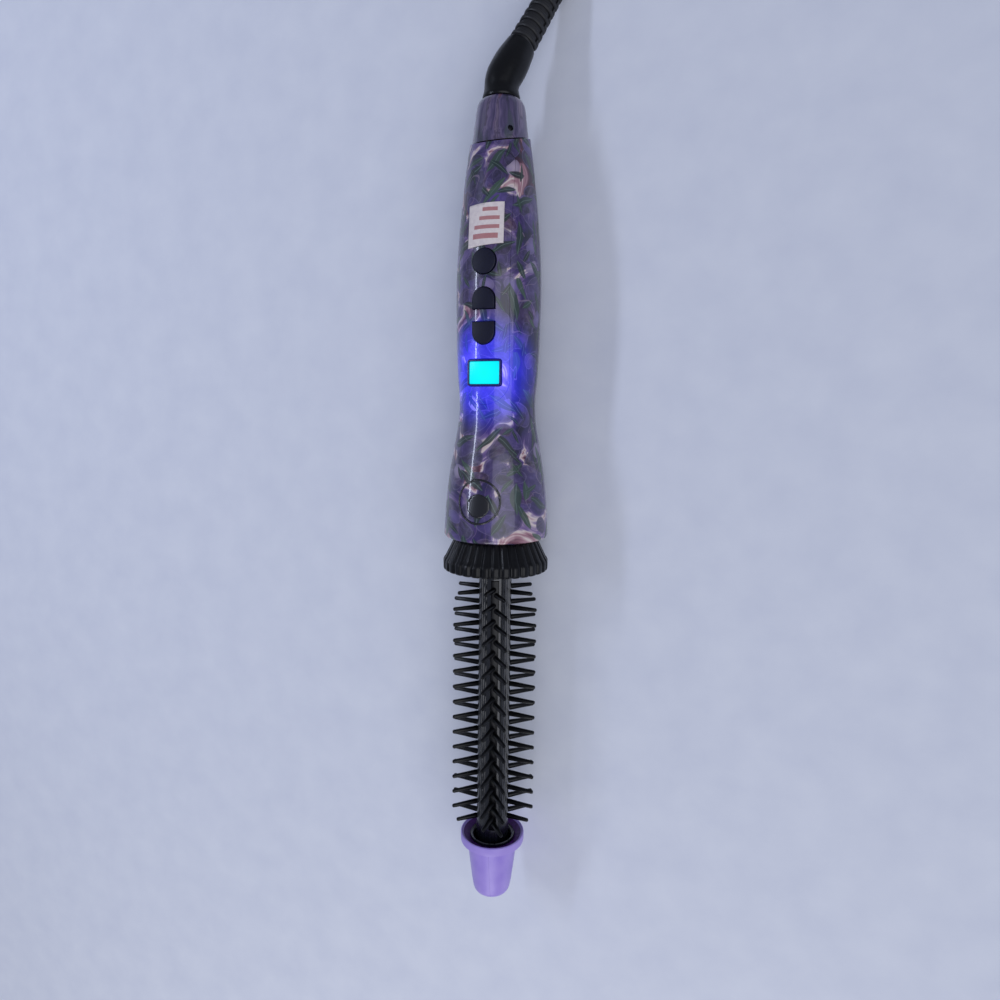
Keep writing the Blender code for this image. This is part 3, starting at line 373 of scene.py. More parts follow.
handle_heights = [157.0, 157.2, 157.5, 157.9, 158.6, 160.0] + [162 + 3.0 * k for k in range(53)]
outer_line = [(handle_radius(h), h) for h in reversed(handle_heights) if h <= 318]
inner_line = [(handle_radius(h) - handle_wall, h) for h in handle_heights if 159.4 < h <= 318]
shell_line = outer_line + [(sleeve_hole, 157.0), (sleeve_hole, 159.4), (18.6, 159.4)] + inner_line
panel_low, panel_high, panel_half, panel_seam = 210.5, 303.0, 9.4, 0.09


def panel_outline(grow):
    """The control panel seen from above: a round lower end and rounded upper corners."""
    half, corner = panel_half + grow, 4.0
    return (arc(0, panel_low + panel_half, half, 180, 360, 40)
            + arc(half - corner, panel_high + grow - corner, corner, 0, 90, 10)
            + arc(-half + corner, panel_high + grow - corner, corner, 90, 180, 10))


shells = []
for name, low, high in (("front_half_shell", 0.00015, 0.1), ("rear_half_shell", -0.1, -0.00015)):
    shell = turn_on_lathe(name, shell_line, 160)
    carve(shell, big_block("half", (-0.1, -0.4, axis_z + low), (0.1, 0.4, axis_z + high)), "INTERSECT")
    carve(shell, above_seam("seam", -seam_half, True))
    shells.append(shell)
carve(shells[0], prism("panel_opening", panel_outline(panel_seam), axis_z + 6 * MM, axis_z + 0.1))
for height in (172.5, 291.0):
    bpy.ops.object.select_all(action="DESELECT")
    bpy.ops.mesh.primitive_cylinder_add(vertices=48, radius=3.0 * MM, depth=0.03,
                                        location=(0, lift(height), axis_z - (handle_radius(height) - 2.8) * MM - 0.015))
    carve(shells[1], bpy.context.object)
for shell, node in zip(shells, ("front_shell", "rear_shell")):
    bpy.ops.object.select_all(action="DESELECT")
    shell.select_set(True)
    bpy.context.view_layer.objects.active = shell
    bpy.ops.object.shade_smooth_by_angle(angle=math.radians(35))
    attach(shell, "handle")
    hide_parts(node)

# lacquered print film on ABS: petals, buds, long leaves and pale washes under a glossy clear coat.
# The pattern is drawn round the handle, so that x runs along its girth and y along its length.
print_film, print_shader = new_material("lacquered_floral_film")
display_middle_height = 222.5
display_middle = Vector((0, lift(display_middle_height), axis_z + 15.4 * MM))


def maths(material, operation, a, b=0.0, c=0.0):
    return add_node(material, "ShaderNodeMath", {0: a, 1: b, 2: c}, operation=operation).outputs[0]


def blended(material, amount, under, over):
    """Lays one colour over another where amount is 1."""
    mixed = add_node(material, "ShaderNodeMix", data_type="RGBA")
    for socket, value in ((0, amount), (6, under), (7, over)):
        if isinstance(value, bpy.types.NodeSocket):
            material.node_tree.links.new(value, mixed.inputs[socket])
        else:
            mixed.inputs[socket].default_value = value
    return mixed.outputs[2]


def ramp(material, amount, stops):
    """Colours along a value: stops is (place, hex code) pairs."""
    made = add_node(material, "ShaderNodeValToRGB", {"Fac": amount})
    while len(made.color_ramp.elements) < len(stops):
        made.color_ramp.elements.new(0.5)
    for element, (place, code) in zip(made.color_ramp.elements, stops):
        element.position, element.color = place, colour(code)
    return made.outputs["Color"]


def round_the_handle(material, girth=16 * MM, stretch=1.0):
    """The surface unrolled: a vector of the distance round the handle and along it, in metres."""
    spot = add_node(material, "ShaderNodeTexCoord").outputs["Object"]
    split = add_node(material, "ShaderNodeSeparateXYZ", {0: spot})
    turn = maths(material, "ARCTAN2", split.outputs["X"], maths(material, "SUBTRACT", split.outputs["Z"], axis_z))
    flat = add_node(material, "ShaderNodeCombineXYZ", {
        "X": maths(material, "MULTIPLY", turn, girth), "Y": maths(material, "MULTIPLY", split.outputs["Y"], stretch)})
    sway = add_node(material, "ShaderNodeTexNoise", {"Vector": spot, "Scale": 55.0, "Detail": 2.0})
    moved = add_node(material, "ShaderNodeVectorMath", {
        0: sway.outputs["Color"], 1: (-0.5, -0.5, -0.5)}, operation="ADD")
    moved = add_node(material, "ShaderNodeVectorMath", {0: moved.outputs[0], "Scale": 0.007}, operation="SCALE")
    bent = add_node(material, "ShaderNodeVectorMath", {0: flat.outputs[0], 1: moved.outputs[0]}, operation="ADD")
    return spot, bent.outputs[0]


def scattered(material, place, spacing, offset, lean):
    """Scattered shapes, one to a cell: (along it, across it, random value), measured in metres from
    each one's middle and turned at random, or within lean radians of the brush's line."""
    shifted = add_node(material, "ShaderNodeVectorMath", {0: place, 1: (offset, 0.37 * offset, 0)}, operation="ADD")
    cells = add_node(material, "ShaderNodeTexVoronoi", {
        "Vector": shifted.outputs[0], "Scale": 1 / spacing, "Randomness": 0.75}, voronoi_dimensions="2D")
    away = add_node(material, "ShaderNodeVectorMath", {0: shifted.outputs[0], 1: cells.outputs["Position"]},
                    operation="SUBTRACT")
    random = add_node(material, "ShaderNodeSeparateColor", {0: cells.outputs["Color"]})
    angle = maths(material, "MULTIPLY", maths(material, "SUBTRACT", random.outputs[0], 0.5), 2 * lean)
    turned = add_node(material, "ShaderNodeVectorRotate", {
        "Vector": away.outputs[0], "Angle": angle}, rotation_type="Z_AXIS")
    parts = add_node(material, "ShaderNodeSeparateXYZ", {0: turned.outputs[0]})
    return parts.outputs["Y"], parts.outputs["X"], random.outputs[1], random.outputs[2]


def petal_mask(material, along, across, long, wide, soft=0.12):
    """1 inside an oval, falling to 0 over its edge."""
    u, v = maths(material, "DIVIDE", along, long), maths(material, "DIVIDE", across, wide)
    far = maths(material, "ADD", maths(material, "MULTIPLY", u, u), maths(material, "MULTIPLY", v, v))
    edge = add_node(material, "ShaderNodeMapRange", {
        "Value": far, "From Min": 1.0 + soft, "From Max": 1.0 - soft}, interpolation_type="SMOOTHSTEP")
    return edge.outputs[0], far


def leaf_mask(material, along, across, long, wide):
    """1 inside a leaf with two points, 0 outside it, and the distance from its midrib."""
    u = maths(material, "DIVIDE", along, long)
    width = maths(material, "MULTIPLY", maths(material, "SUBTRACT", 1.0, maths(material, "MULTIPLY", u, u)), wide)
    side = maths(material, "ABSOLUTE", across)
    inside = add_node(material, "ShaderNodeMapRange", {
        "Value": maths(material, "SUBTRACT", width, side), "From Min": -0.00012, "From Max": 0.00018})
    return inside.outputs[0], maths(material, "DIVIDE", side, wide)


def floral_layers(material, washes, girth=16 * MM, stretch=1.0):
    """The whole print as a colour: washes, broad petals, small petals and berries, leaves, stems."""
    spot, place = round_the_handle(material, girth, stretch)
    broad = add_node(material, "ShaderNodeTexNoise", {
        "Vector": place, "Scale": 46.0, "Detail": 5.0, "Roughness": 0.6, "Distortion": 0.8}, noise_dimensions="2D")
    base = ramp(material, broad.outputs["Fac"], washes)
    streak = add_node(material, "ShaderNodeTexNoise", {
        "Vector": place, "Scale": 380.0, "Detail": 4.0, "Roughness": 0.65, "Distortion": 0.5}, noise_dimensions="2D")
    for spacing, offset, long, wide, share, stops in (
        (14.0 * MM, 0.11, 7.6 * MM, 4.8 * MM, 0.12, [
            (0.0, "120c2c"), (0.3, "1d1542"), (0.5, "33205a"), (0.75, "4b3a76"), (1.0, "2c1238")]),
        (11.0 * MM, 0.31, 5.6 * MM, 3.6 * MM, 0.2, [
            (0.0, "161034"), (0.35, "3d2c68"), (0.6, "57468a"), (0.8, "211848"), (1.0, "75639a")]),
        (8.6 * MM, 0.57, 3.5 * MM, 2.5 * MM, 0.35, [
            (0.0, "0c0a22"), (0.4, "19133a"), (0.62, "46173a"), (0.82, "5d5090"), (0.93, "9c8fb0"), (1.0, "c9bcc4")]),
    ):
        along, across, shade, chance = scattered(material, place, spacing, offset, 3.14)
        mask, far = petal_mask(material, along, across, long, wide)
        tone = ramp(material, shade, stops)
        tone = blended(material, maths(material, "MULTIPLY", far, 0.5), tone, colour("0a0720"))
        tone = blended(material, maths(material, "MULTIPLY", maths(
            material, "POWER", streak.outputs["Fac"], 2.2), 0.75), tone, colour("8f7fb8"))
        rim = add_node(material, "ShaderNodeMapRange", {
            "Value": maths(material, "ABSOLUTE", maths(material, "SUBTRACT", far, 0.86)), "From Min": 0.11,
            "From Max": 0.02}, interpolation_type="SMOOTHSTEP")
        tone = blended(material, maths(material, "MULTIPLY", rim.outputs[0], 0.22), tone, colour("a99bc8"))
        shown = maths(material, "MULTIPLY", mask, maths(material, "GREATER_THAN", chance, share))
        base = blended(material, maths(material, "MULTIPLY", shown, 0.88), base, tone)
    for spacing, offset, long, wide, lean, share in (
        (12.5 * MM, 0.73, 6.2 * MM, 1.5 * MM, 1.3, 0.35), (9.5 * MM, 0.91, 4.6 * MM, 1.15 * MM, 2.4, 0.45),
        (7.0 * MM, 0.17, 3.4 * MM, 0.8 * MM, 1.0, 0.6)):
        along, across, shade, chance = scattered(material, place, spacing, offset, lean)
        mask, rib = leaf_mask(material, along, across, long, wide)
        tone = ramp(material, shade, [(0.0, "101f22"), (0.5, "223a38"), (1.0, "46604f")])
        tone = blended(material, maths(material, "LESS_THAN", rib, 0.1), tone, colour("5b7068"))
        shown = maths(material, "MULTIPLY", mask, maths(material, "GREATER_THAN", chance, share))
        base = blended(material, maths(material, "MULTIPLY", shown, 0.9), base, tone)
    stems = add_node(material, "ShaderNodeTexNoise", {
        "Vector": place, "Scale": 48.0, "Detail": 1.0, "Distortion": 1.2}, noise_dimensions="2D")
    thin = maths(material, "LESS_THAN", maths(material, "ABSOLUTE", maths(
        material, "SUBTRACT", stems.outputs["Fac"], 0.44)), 0.004)
    return spot, blended(material, maths(material, "MULTIPLY", thin, 0.6), base, colour("8d7c94"))


film_spot, film_colour = floral_layers(print_film, [
    (0.28, "0e0a26"), (0.37, "21184a"), (0.44, "3a2a66"), (0.50, "56407c"), (0.545, "8d78a2"), (0.58, "dccfca"),
    (0.61, "b08a94"), (0.65, "5c2140"), (0.74, "1a1236")])
depth_of_print = add_node(print_film, "ShaderNodeGamma", {"Color": film_colour, "Gamma": 1.22})
print_film.node_tree.links.new(depth_of_print.outputs[0], print_shader.inputs["Base Color"])

# the display's backlight spills over the film round it, strongest beside the glass
spill_offset = add_node(print_film, "ShaderNodeVectorMath", {
    0: film_spot, 1: tuple(display_middle)}, operation="DISTANCE")
spill = add_node(print_film, "ShaderNodeMapRange", {
    "Value": spill_offset.outputs["Value"], "From Min": 27 * MM, "From Max": 6 * MM}, interpolation_type="SMOOTHERSTEP")
spill_shape = maths(print_film, "MULTIPLY", spill.outputs[0], maths(
    print_film, "MULTIPLY_ADD", add_node(print_film, "ShaderNodeSeparateColor", {0: film_colour}).outputs[2], 1.5, 0.5))
print_film.node_tree.links.new(blended(print_film, spill_shape, (0, 0, 0, 1), colour("1726ff")),
                               print_shader.inputs["Emission Color"])
print_shader.inputs["Emission Strength"].default_value = 1.0
print_shader.inputs["Roughness"].default_value = 0.34
print_shader.inputs["Coat Weight"].default_value = 0.6
print_shader.inputs["Coat Roughness"].default_value = 0.05
orange_peel = add_node(print_film, "ShaderNodeTexNoise", {"Vector": film_spot, "Scale": 260.0, "Detail": 2.0})
film_bump = add_node(print_film, "ShaderNodeBump", {
    "Height": orange_peel.outputs["Fac"], "Strength": 0.12, "Distance": 0.0002})
print_film.node_tree.links.new(film_bump.outputs["Normal"], print_shader.inputs["Coat Normal"])
for shell in shells:
    shell.data.materials.clear()
    shell.data.materials.append(print_film)

# ---------------------------------------------------------------- control panel
# A moulded ABS inlay under the same film, flush with the front shell behind a hairline seam. It
# holds the buttons and the display, and is glued in over the control board.
control_plate_line = ([(handle_radius(h), h) for h in range(318, 199, -3)]
                      + [(handle_radius(h) - 2.0, h) for h in range(201, 319, 3)])
control_plate = turn_on_lathe("control_plate", control_plate_line, 160)
carve(control_plate, prism("plate_shape", panel_outline(0), axis_z + 4 * MM, axis_z + 0.1), "INTERSECT")
power_middle, power_radius, arch_half = 263.2, 4.6, 4.4


def key_outline(which, grow):
    """One button seen from above: the disc, or an arch whose flat side faces the other arch."""
    if which == "power":
        return arc(0, power_middle, power_radius + grow, 0, 352.5, 47)
    half = arch_half + grow
    if which == "plus":
        return [(-half, 246.0 - grow), (half, 246.0 - grow)] + arc(0, 253.8 - arch_half, half, 0, 180, 32)
    return [(half, 241.3 + grow), (-half, 241.3 + grow)] + arc(0, 233.0 + arch_half, half, 180, 360, 32)


for which in ("power", "plus", "minus"):
    carve(control_plate, prism("key_hole", key_outline(which, 0.3), axis_z + 4 * MM, axis_z + 0.1))
glass_wide, glass_tall, bezel = 12.2, 8.6, 0.75
hole_half = (glass_wide / 2 + bezel + 0.2, glass_tall / 2 + bezel + 0.2)


def round_oblong(half_x, half_y, corner):
    """A rounded oblong round the display's middle, in millimetres."""
    x, y = half_x - corner, half_y - corner
    high, low = display_middle_height + y, display_middle_height - y
    return (arc(x, high, corner, 0, 90, 6) + arc(-x, high, corner, 90, 180, 6)
            + arc(-x, low, corner, 180, 270, 6) + arc(x, low, corner, 270, 360, 6))


carve(control_plate, prism("display_hole", round_oblong(*hole_half, 1.2), axis_z + 4 * MM, axis_z + 0.1))
bpy.ops.object.shade_smooth_by_angle(angle=math.radians(35))
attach(control_plate, "handle")
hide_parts("control_panel")
control_plate.data.materials.append(print_film)

# ---------------------------------------------------------------- end cap and its pin
# A short tapered ABS cap that closes the handle and holds the cord's swivel. Its film was drawn
# over the small end and has smeared along it; a black pin on its side locks it to the shells.
cap_line = [(304.0, 11.55), (308.0, 11.15), (311.6, 10.75), (316.0, 10.2), (320.0, 9.75), (322.0, 9.45), (323.2, 9.15),
            (324.1, 8.7), (324.8, 8.1), (325.2, 7.4)]
cap_wall, stem_hole = 1.6, 4.9
cap_outline = ([(r, h) for h, r in reversed(cap_line)]
               + [(11.55 - cap_wall, 304.0), (10.75 - cap_wall, 311.6), (9.75 - cap_wall, 320.0),
                  (9.3 - cap_wall, 323.6), (stem_hole, 323.6), (stem_hole, 325.2)])
tail_cap = turn_on_lathe("tail_cap", cap_outline, 144)
carve(tail_cap, above_seam("seam", seam_half, False))
pin_bearing, pin_height, pin_radius = math.radians(40), 312.2, 0.9
pin_way = Vector((math.sin(pin_bearing), 0, math.cos(pin_bearing)))
bpy.ops.object.select_all(action="DESELECT")
bpy.ops.mesh.primitive_cylinder_add(
    vertices=32, radius=1.1 * MM, depth=8 * MM, rotation=pin_way.to_track_quat("Z", "Y").to_euler(),
    location=Vector((0, lift(pin_height), axis_z)) + 11.6 * MM * pin_way)
carve(tail_cap, bpy.context.object)
bpy.ops.object.shade_smooth_by_angle(angle=math.radians(35))
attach(tail_cap, "handle")
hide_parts("end_cap")

# the same print, drawn out lengthways over the small end until it is mauve-grey smears
smeared_film, smeared_shader = new_material("smeared_floral_film")
_, smear_place = round_the_handle(smeared_film, 11 * MM, 0.22)
smears = add_node(smeared_film, "ShaderNodeTexNoise", {
    "Vector": smear_place, "Scale": 260.0, "Detail": 4.0, "Roughness": 0.55}, noise_dimensions="2D")
smear_colour = ramp(smeared_film, smears.outputs["Fac"], [
    (0.30, "1c1633"), (0.42, "342a4e"), (0.50, "4a3d62"), (0.56, "5e5070"), (0.61, "3a2d4a"), (0.68, "6f6078")])
spots = add_node(smeared_film, "ShaderNodeTexNoise", {
    "Vector": smear_place, "Scale": 150.0, "Detail": 2.0, "W": 3.0}, noise_dimensions="4D")
smear_colour = blended(smeared_film, add_node(smeared_film, "ShaderNodeMapRange", {
    "Value": spots.outputs["Fac"], "From Min": 0.60, "From Max": 0.68, "To Max": 0.8}).outputs[0],
    smear_colour, colour("6e3434"))
smear_colour = blended(smeared_film, add_node(smeared_film, "ShaderNodeMapRange", {
    "Value": spots.outputs["Fac"], "From Min": 0.40, "From Max": 0.33, "To Max": 0.7}).outputs[0],
    smear_colour, colour("2f4238"))
smeared_film.node_tree.links.new(smear_colour, smeared_shader.inputs["Base Color"])
smeared_shader.inputs["Roughness"].default_value = 0.34
smeared_shader.inputs["Coat Weight"].default_value = 1.0
smeared_shader.inputs["Coat Roughness"].default_value = 0.06
tail_cap.data.materials.append(smeared_film)

bpy.ops.object.select_all(action="DESELECT")
bpy.ops.mesh.primitive_cylinder_add(
    vertices=32, radius=pin_radius * MM, depth=1.5 * MM, rotation=pin_way.to_track_quat("Z", "Y").to_euler(),
    location=Vector((0, lift(pin_height), axis_z)) + 9.35 * MM * pin_way)
locking_pin = bpy.context.object
locking_pin.name = "locking_pin"
bpy.ops.object.transform_apply(location=True, rotation=True, scale=True)
soften(locking_pin, 0.15 * MM)
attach(locking_pin, "handle")
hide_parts("cap_pin")

# moulded black nylon: near black, with a faint unevenness in its sheen
black_nylon, nylon_shader = new_material("moulded_black_nylon")
nylon_place = add_node(black_nylon, "ShaderNodeTexCoord").outputs["Object"]
nylon_grain = add_node(black_nylon, "ShaderNodeTexNoise", {"Vector": nylon_place, "Scale": 900.0, "Detail": 4.0})
nylon_tone = ramp(black_nylon, nylon_grain.outputs["Fac"], [(0.3, "020204"), (0.7, "050609")])
black_nylon.node_tree.links.new(nylon_tone, nylon_shader.inputs["Base Color"])
nylon_rough = add_node(black_nylon, "ShaderNodeMapRange", {
    "Value": nylon_grain.outputs["Fac"], "To Min": 0.24, "To Max": 0.38})
black_nylon.node_tree.links.new(nylon_rough.outputs[0], nylon_shader.inputs["Roughness"])
nylon_bump = add_node(black_nylon, "ShaderNodeBump", {
    "Height": nylon_grain.outputs["Fac"], "Strength": 0.15, "Distance": 0.0001})
black_nylon.node_tree.links.new(nylon_bump.outputs["Normal"], nylon_shader.inputs["Normal"])
nylon_shader.inputs["Specular IOR Level"].default_value = 0.28
locking_pin.data.materials.append(black_nylon)

# ---------------------------------------------------------------- power, plus and minus buttons
# Three moulded navy buttons, a disc and two arches, each with a soft rounded edge. A flange under
# the panel keeps each one in, and a tact switch on the board pushes it back up.
button_blue, button_shader = new_material("moulded_navy_buttons")
button_place = add_node(button_blue, "ShaderNodeTexCoord").outputs["Object"]
button_grain = add_node(button_blue, "ShaderNodeTexNoise", {"Vector": button_place, "Scale": 1500.0, "Detail": 3.0})
button_blue.node_tree.links.new(ramp(button_blue, button_grain.outputs["Fac"], [(0.3, "03041a"), (0.7, "060826")]),
                                button_shader.inputs["Base Color"])
button_shader.inputs["Specular IOR Level"].default_value = 0.3
button_blue.node_tree.links.new(add_node(button_blue, "ShaderNodeMapRange", {
    "Value": button_grain.outputs["Fac"], "To Min": 0.38, "To Max": 0.55}).outputs[0],
    button_shader.inputs["Roughness"])
button_blue.node_tree.links.new(add_node(button_blue, "ShaderNodeBump", {
    "Height": button_grain.outputs["Fac"], "Strength": 0.2, "Distance": 0.00005}).outputs["Normal"],
    button_shader.inputs["Normal"])
for which, middle, node in (("power", power_middle, "power_button"), ("plus", 249.9, "plus_button"),
                            ("minus", 237.15, "minus_button")):
    proud = handle_radius(middle) + 0.7
    key = prism(which + "_key_cap", key_outline(which, 0), axis_z + (proud - 3.6) * MM, axis_z + proud * MM)
    soften(key, 0.35 * MM, 4, 60)
    crown = [v for v in key.data.vertices if v.co.z > axis_z + (proud - 0.2) * MM]
    for vertex in crown:
        away = math.hypot(vertex.co.x, vertex.co.y - lift(middle)) / (power_radius * MM)
        vertex.co.z -= 0.18 * MM * (away**2 - 0.4 if away > 0.63 else 0)
    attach(key, which + "_key")
    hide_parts(node)
    key.data.materials.append(button_blue)

# ---------------------------------------------------------------- temperature display
# A small lit window in a dark rounded bezel. A backlight behind the glass fills it evenly with
# cyan and spills blue light over the print round it; no figures are lit.
bezel_piece = prism("display_bezel", round_oblong(glass_wide / 2 + bezel, glass_tall / 2 + bezel, 1.1),
                    axis_z + 13.3 * MM, axis_z + 15.35 * MM)
carve(bezel_piece, prism("bezel_mouth", round_oblong(glass_wide / 2, glass_tall / 2, 0.5), axis_z, axis_z + 0.1))
soften(bezel_piece, 0.12 * MM)
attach(bezel_piece, "handle")
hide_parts("display_frame")
bezel_navy, bezel_shader = new_material("navy_bezel_plastic")
bezel_place = add_node(bezel_navy, "ShaderNodeTexCoord").outputs["Object"]
bezel_grain = add_node(bezel_navy, "ShaderNodeTexNoise", {"Vector": bezel_place, "Scale": 1200.0, "Detail": 2.0})
bezel_navy.node_tree.links.new(ramp(bezel_navy, bezel_grain.outputs["Fac"], [(0.3, "0a0e3c"), (0.7, "101654")]),
                               bezel_shader.inputs["Base Color"])
bezel_shader.inputs["Roughness"].default_value = 0.35
# painted glow: a faint blue emission on the bezel stands in for the backlight's light spilling onto it
bezel_shader.inputs["Emission Color"].default_value = colour("0a18a0")
bezel_shader.inputs["Emission Strength"].default_value = 0.15
bezel_piece.data.materials.append(bezel_navy)

window = prism("display_window", round_oblong(glass_wide / 2 - 0.1, glass_tall / 2 - 0.1, 0.4),
               axis_z + 14.25 * MM, axis_z + 15.15 * MM)
soften(window, 0.1 * MM)
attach(window, "handle")
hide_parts("display_glass")
lit_glass, lit_shader = new_material("backlit_cyan_glass")
lit_place = add_node(lit_glass, "ShaderNodeTexCoord").outputs["Object"]
lit_distance = add_node(lit_glass, "ShaderNodeVectorMath", {
    0: lit_place, 1: (0, lift(display_middle_height), axis_z + 15 * MM)}, operation="DISTANCE")
lit_glass.node_tree.links.new(ramp(lit_glass, maths(lit_glass, "MULTIPLY", lit_distance.outputs["Value"], 125.0), [
    (0.0, "08fff4"), (0.7, "00f4ff"), (1.0, "00dcff")]), lit_shader.inputs["Emission Color"])
lit_shader.inputs["Base Color"].default_value = colour("053a40")
lit_shader.inputs["Emission Strength"].default_value = 1.0
lit_shader.inputs["Roughness"].default_value = 0.25
lit_shader.inputs["Specular IOR Level"].default_value = 0.2
window.data.materials.append(lit_glass)

# ---------------------------------------------------------------- paper label and round badge
# A cream paper label stuck over the panel, printed in plain red bars in place of lettering, and a
# thin dark printed ring near the rim round a plain disc that reads as its blank badge.
def wrap_on_handle(name, outline, stand, thick):
    """A thin skin that follows the handle, cut to an outline seen from above."""
    heights = [min(h for _, h in outline) - 2 + 1.0 * k for k in range(int(max(h for _, h in outline)
                                                                       - min(h for _, h in outline)) + 5)]
    line = ([(handle_radius(h) + stand + thick, h) for h in reversed(heights)]
            + [(handle_radius(h) + stand, h) for h in heights])
    skin = turn_on_lathe(name, line, 160)
    return carve(skin, prism("skin_shape", outline, axis_z + 4 * MM, axis_z + 0.1), "INTERSECT")


label_half, label_low, label_high = 7.0, 269.2, 284.6
sticker = wrap_on_handle("paper_sticker", [
    (-label_half, label_low - 0.9), (label_half, label_low + 0.4),
    (label_half - 0.2, label_high), (-label_half - 0.1, label_high - 0.6)], 0.1, 0.15)
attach(sticker, "handle")
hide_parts("paper_label")
paper, paper_shader = new_material("cream_paper_label")
paper_place = add_node(paper, "ShaderNodeTexCoord").outputs["Object"]
paper_split = add_node(paper, "ShaderNodeSeparateXYZ", {0: paper_place})
paper_fibre = add_node(paper, "ShaderNodeTexNoise", {"Vector": paper_place, "Scale": 700.0, "Detail": 5.0})
paper_tone = ramp(paper, paper_fibre.outputs["Fac"], [(0.3, "cfc3c4"), (0.7, "ddd3cf")])
for middle, left, right, tall in ((282.0, -1.2, 4.6, 0.7), (278.8, -2.4, 5.4, 0.7), (275.6, -4.4, 5.4, 0.7),
                                  (272.3, -4.9, 5.0, 0.95)):
    inside = maths(paper, "LESS_THAN", maths(paper, "ABSOLUTE", maths(
        paper, "SUBTRACT", paper_split.outputs["Y"], lift(middle))), tall * MM)
    inside = maths(paper, "MULTIPLY", inside, maths(paper, "LESS_THAN", maths(paper, "ABSOLUTE", maths(
        paper, "SUBTRACT", paper_split.outputs["X"], (left + right) / 2 * MM)), (right - left) / 2 * MM))
    paper_tone = blended(paper, maths(paper, "MULTIPLY", inside, 0.72), paper_tone, colour("96222e"))
paper.node_tree.links.new(paper_tone, paper_shader.inputs["Base Color"])
paper_shader.inputs["Roughness"].default_value = 0.6
paper.node_tree.links.new(add_node(paper, "ShaderNodeBump", {
    "Height": paper_fibre.outputs["Fac"], "Strength": 0.2, "Distance": 0.00005}).outputs["Normal"],
    paper_shader.inputs["Normal"])
sticker.data.materials.append(paper)

badge_height, badge_radius = 173.4, 8.8
badge = wrap_on_handle("printed_ring", arc(0, badge_height, badge_radius, 0, 355, 71), 0.1, 0.15)
carve(badge, prism("ring_mouth", arc(0, badge_height, badge_radius - 0.75, 0, 355, 71), axis_z, axis_z + 0.1))
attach(badge, "handle")
disc = wrap_on_handle("plain_badge_disc", arc(0, badge_height - 1.6, 4.6, 0, 354, 59), 0.1, 0.12)
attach(disc, "handle")
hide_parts("badge_ring")
ink, ink_shader = new_material("black_printed_ink")
ink_place = add_node(ink, "ShaderNodeTexCoord").outputs["Object"]
ink_grain = add_node(ink, "ShaderNodeTexNoise", {"Vector": ink_place, "Scale": 1400.0, "Detail": 3.0})
ink.node_tree.links.new(ramp(ink, ink_grain.outputs["Fac"], [(0.3, "030208"), (0.7, "080612")]),
                        ink_shader.inputs["Base Color"])
ink_shader.inputs["Roughness"].default_value = 0.3
ink_shader.inputs["Coat Weight"].default_value = 0.5
ink_shader.inputs["Coat Roughness"].default_value = 0.06
badge.data.materials.append(ink)
disc.data.materials.append(ink)

# ---------------------------------------------------------------- fluted heat collar
# A turned ring of satin black nylon that flares out under the handle, moulded with 32 upright
# flutes. It keeps the fingers off the hot barrel and snaps over the insulating sleeve.
collar_line = [(16.5, 156.7), (16.9, 156.55), (17.2, 156.2)]
collar_line += [(17.2 + 3.5 * k / 9, 156.2 - 7.1 * k / 9) for k in range(1, 10)]
collar_line += [(21.2, 148.4), (21.5, 147.8), (21.6, 147.2), (21.6, 146.2), (21.6, 145.2), (21.6, 144.5), (21.4, 144.0),
                (20.9, 143.7), (19.0, 143.7), (18.2, 146.7), (9.3, 146.7), (9.3, 156.7)]
fluted_collar = turn_on_lathe("fluted_collar", collar_line, 288)
flute_depths = {0: 0.9, 1: 0.72, 2: 0.12}
for vertex in fluted_collar.data.vertices:
    x, z = vertex.co.x, vertex.co.z - axis_z
    if math.hypot(x, z) > 16.3 * MM and vertex.co.y > lift(143.6):
        step = round(math.degrees(math.atan2(z, x)) / 1.25) - 6
        depth = flute_depths.get(min(step % 9, -step % 9), 0)
        if math.hypot(x, z) > 18.5 * MM or vertex.co.y > lift(150):
            shrunk = 1 - depth * MM / math.hypot(x, z)
            vertex.co.x, vertex.co.z = x * shrunk, z * shrunk + axis_z
bpy.ops.object.shade_smooth_by_angle(angle=math.radians(50))
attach(fluted_collar, "handle")
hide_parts("heat_collar")
fluted_collar.data.materials.append(black_nylon)

# ---------------------------------------------------------------- heated barrel
# A thin aluminium tube in gloss black enamel, with fine lengthwise grooves between the strips. A
# slot on each quarter lets a bristle strip in; the ceramic heater inside warms it.
strip_bearings = [math.radians(20 + 90 * k) for k in range(4)]
rail_low, rail_high, rail_half = 31.0, 139.5, 1.5
tube_line = [(6.9, 166.0), (6.9, 140.4), (6.9, 30.2), (6.9, 19.4), (5.9, 19.4), (5.9, 166.0)]
heated_tube = turn_on_lathe("heated_tube", tube_line, 360)
for vertex in heated_tube.data.vertices:
    x, z = vertex.co.x, vertex.co.z - axis_z
    if math.hypot(x, z) > 6.5 * MM:
        degrees = round(math.degrees(math.atan2(x, z))) - 20
        between = degrees % 90
        for groove in (24, 33, 42, 51, 60):
            depth = {0: 0.26, 1: 0.17}.get(abs(between - groove), 0)
            if depth:
                shrunk = 1 - depth * MM / math.hypot(x, z)
                vertex.co.x, vertex.co.z = x * shrunk, z * shrunk + axis_z
for bearing in strip_bearings:
    outward = Vector((math.sin(bearing), 0, math.cos(bearing)))
    sideways = Vector((math.cos(bearing), 0, -math.sin(bearing)))
    slot_cut = big_block("slot", (-1.62 * MM, lift(rail_low - 0.2), 3 * MM),
                         (1.62 * MM, lift(rail_high + 0.2), 14 * MM))
    for vertex in slot_cut.data.vertices:
        local = vertex.co + slot_cut.location
        vertex.co = (local.x * sideways + Vector((0, local.y, 0)) + local.z * outward + Vector((0, 0, axis_z))
                     - slot_cut.location)
    carve(heated_tube, slot_cut)
bpy.ops.object.shade_smooth_by_angle(angle=math.radians(25))
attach(heated_tube, "handle")
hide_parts("barrel")

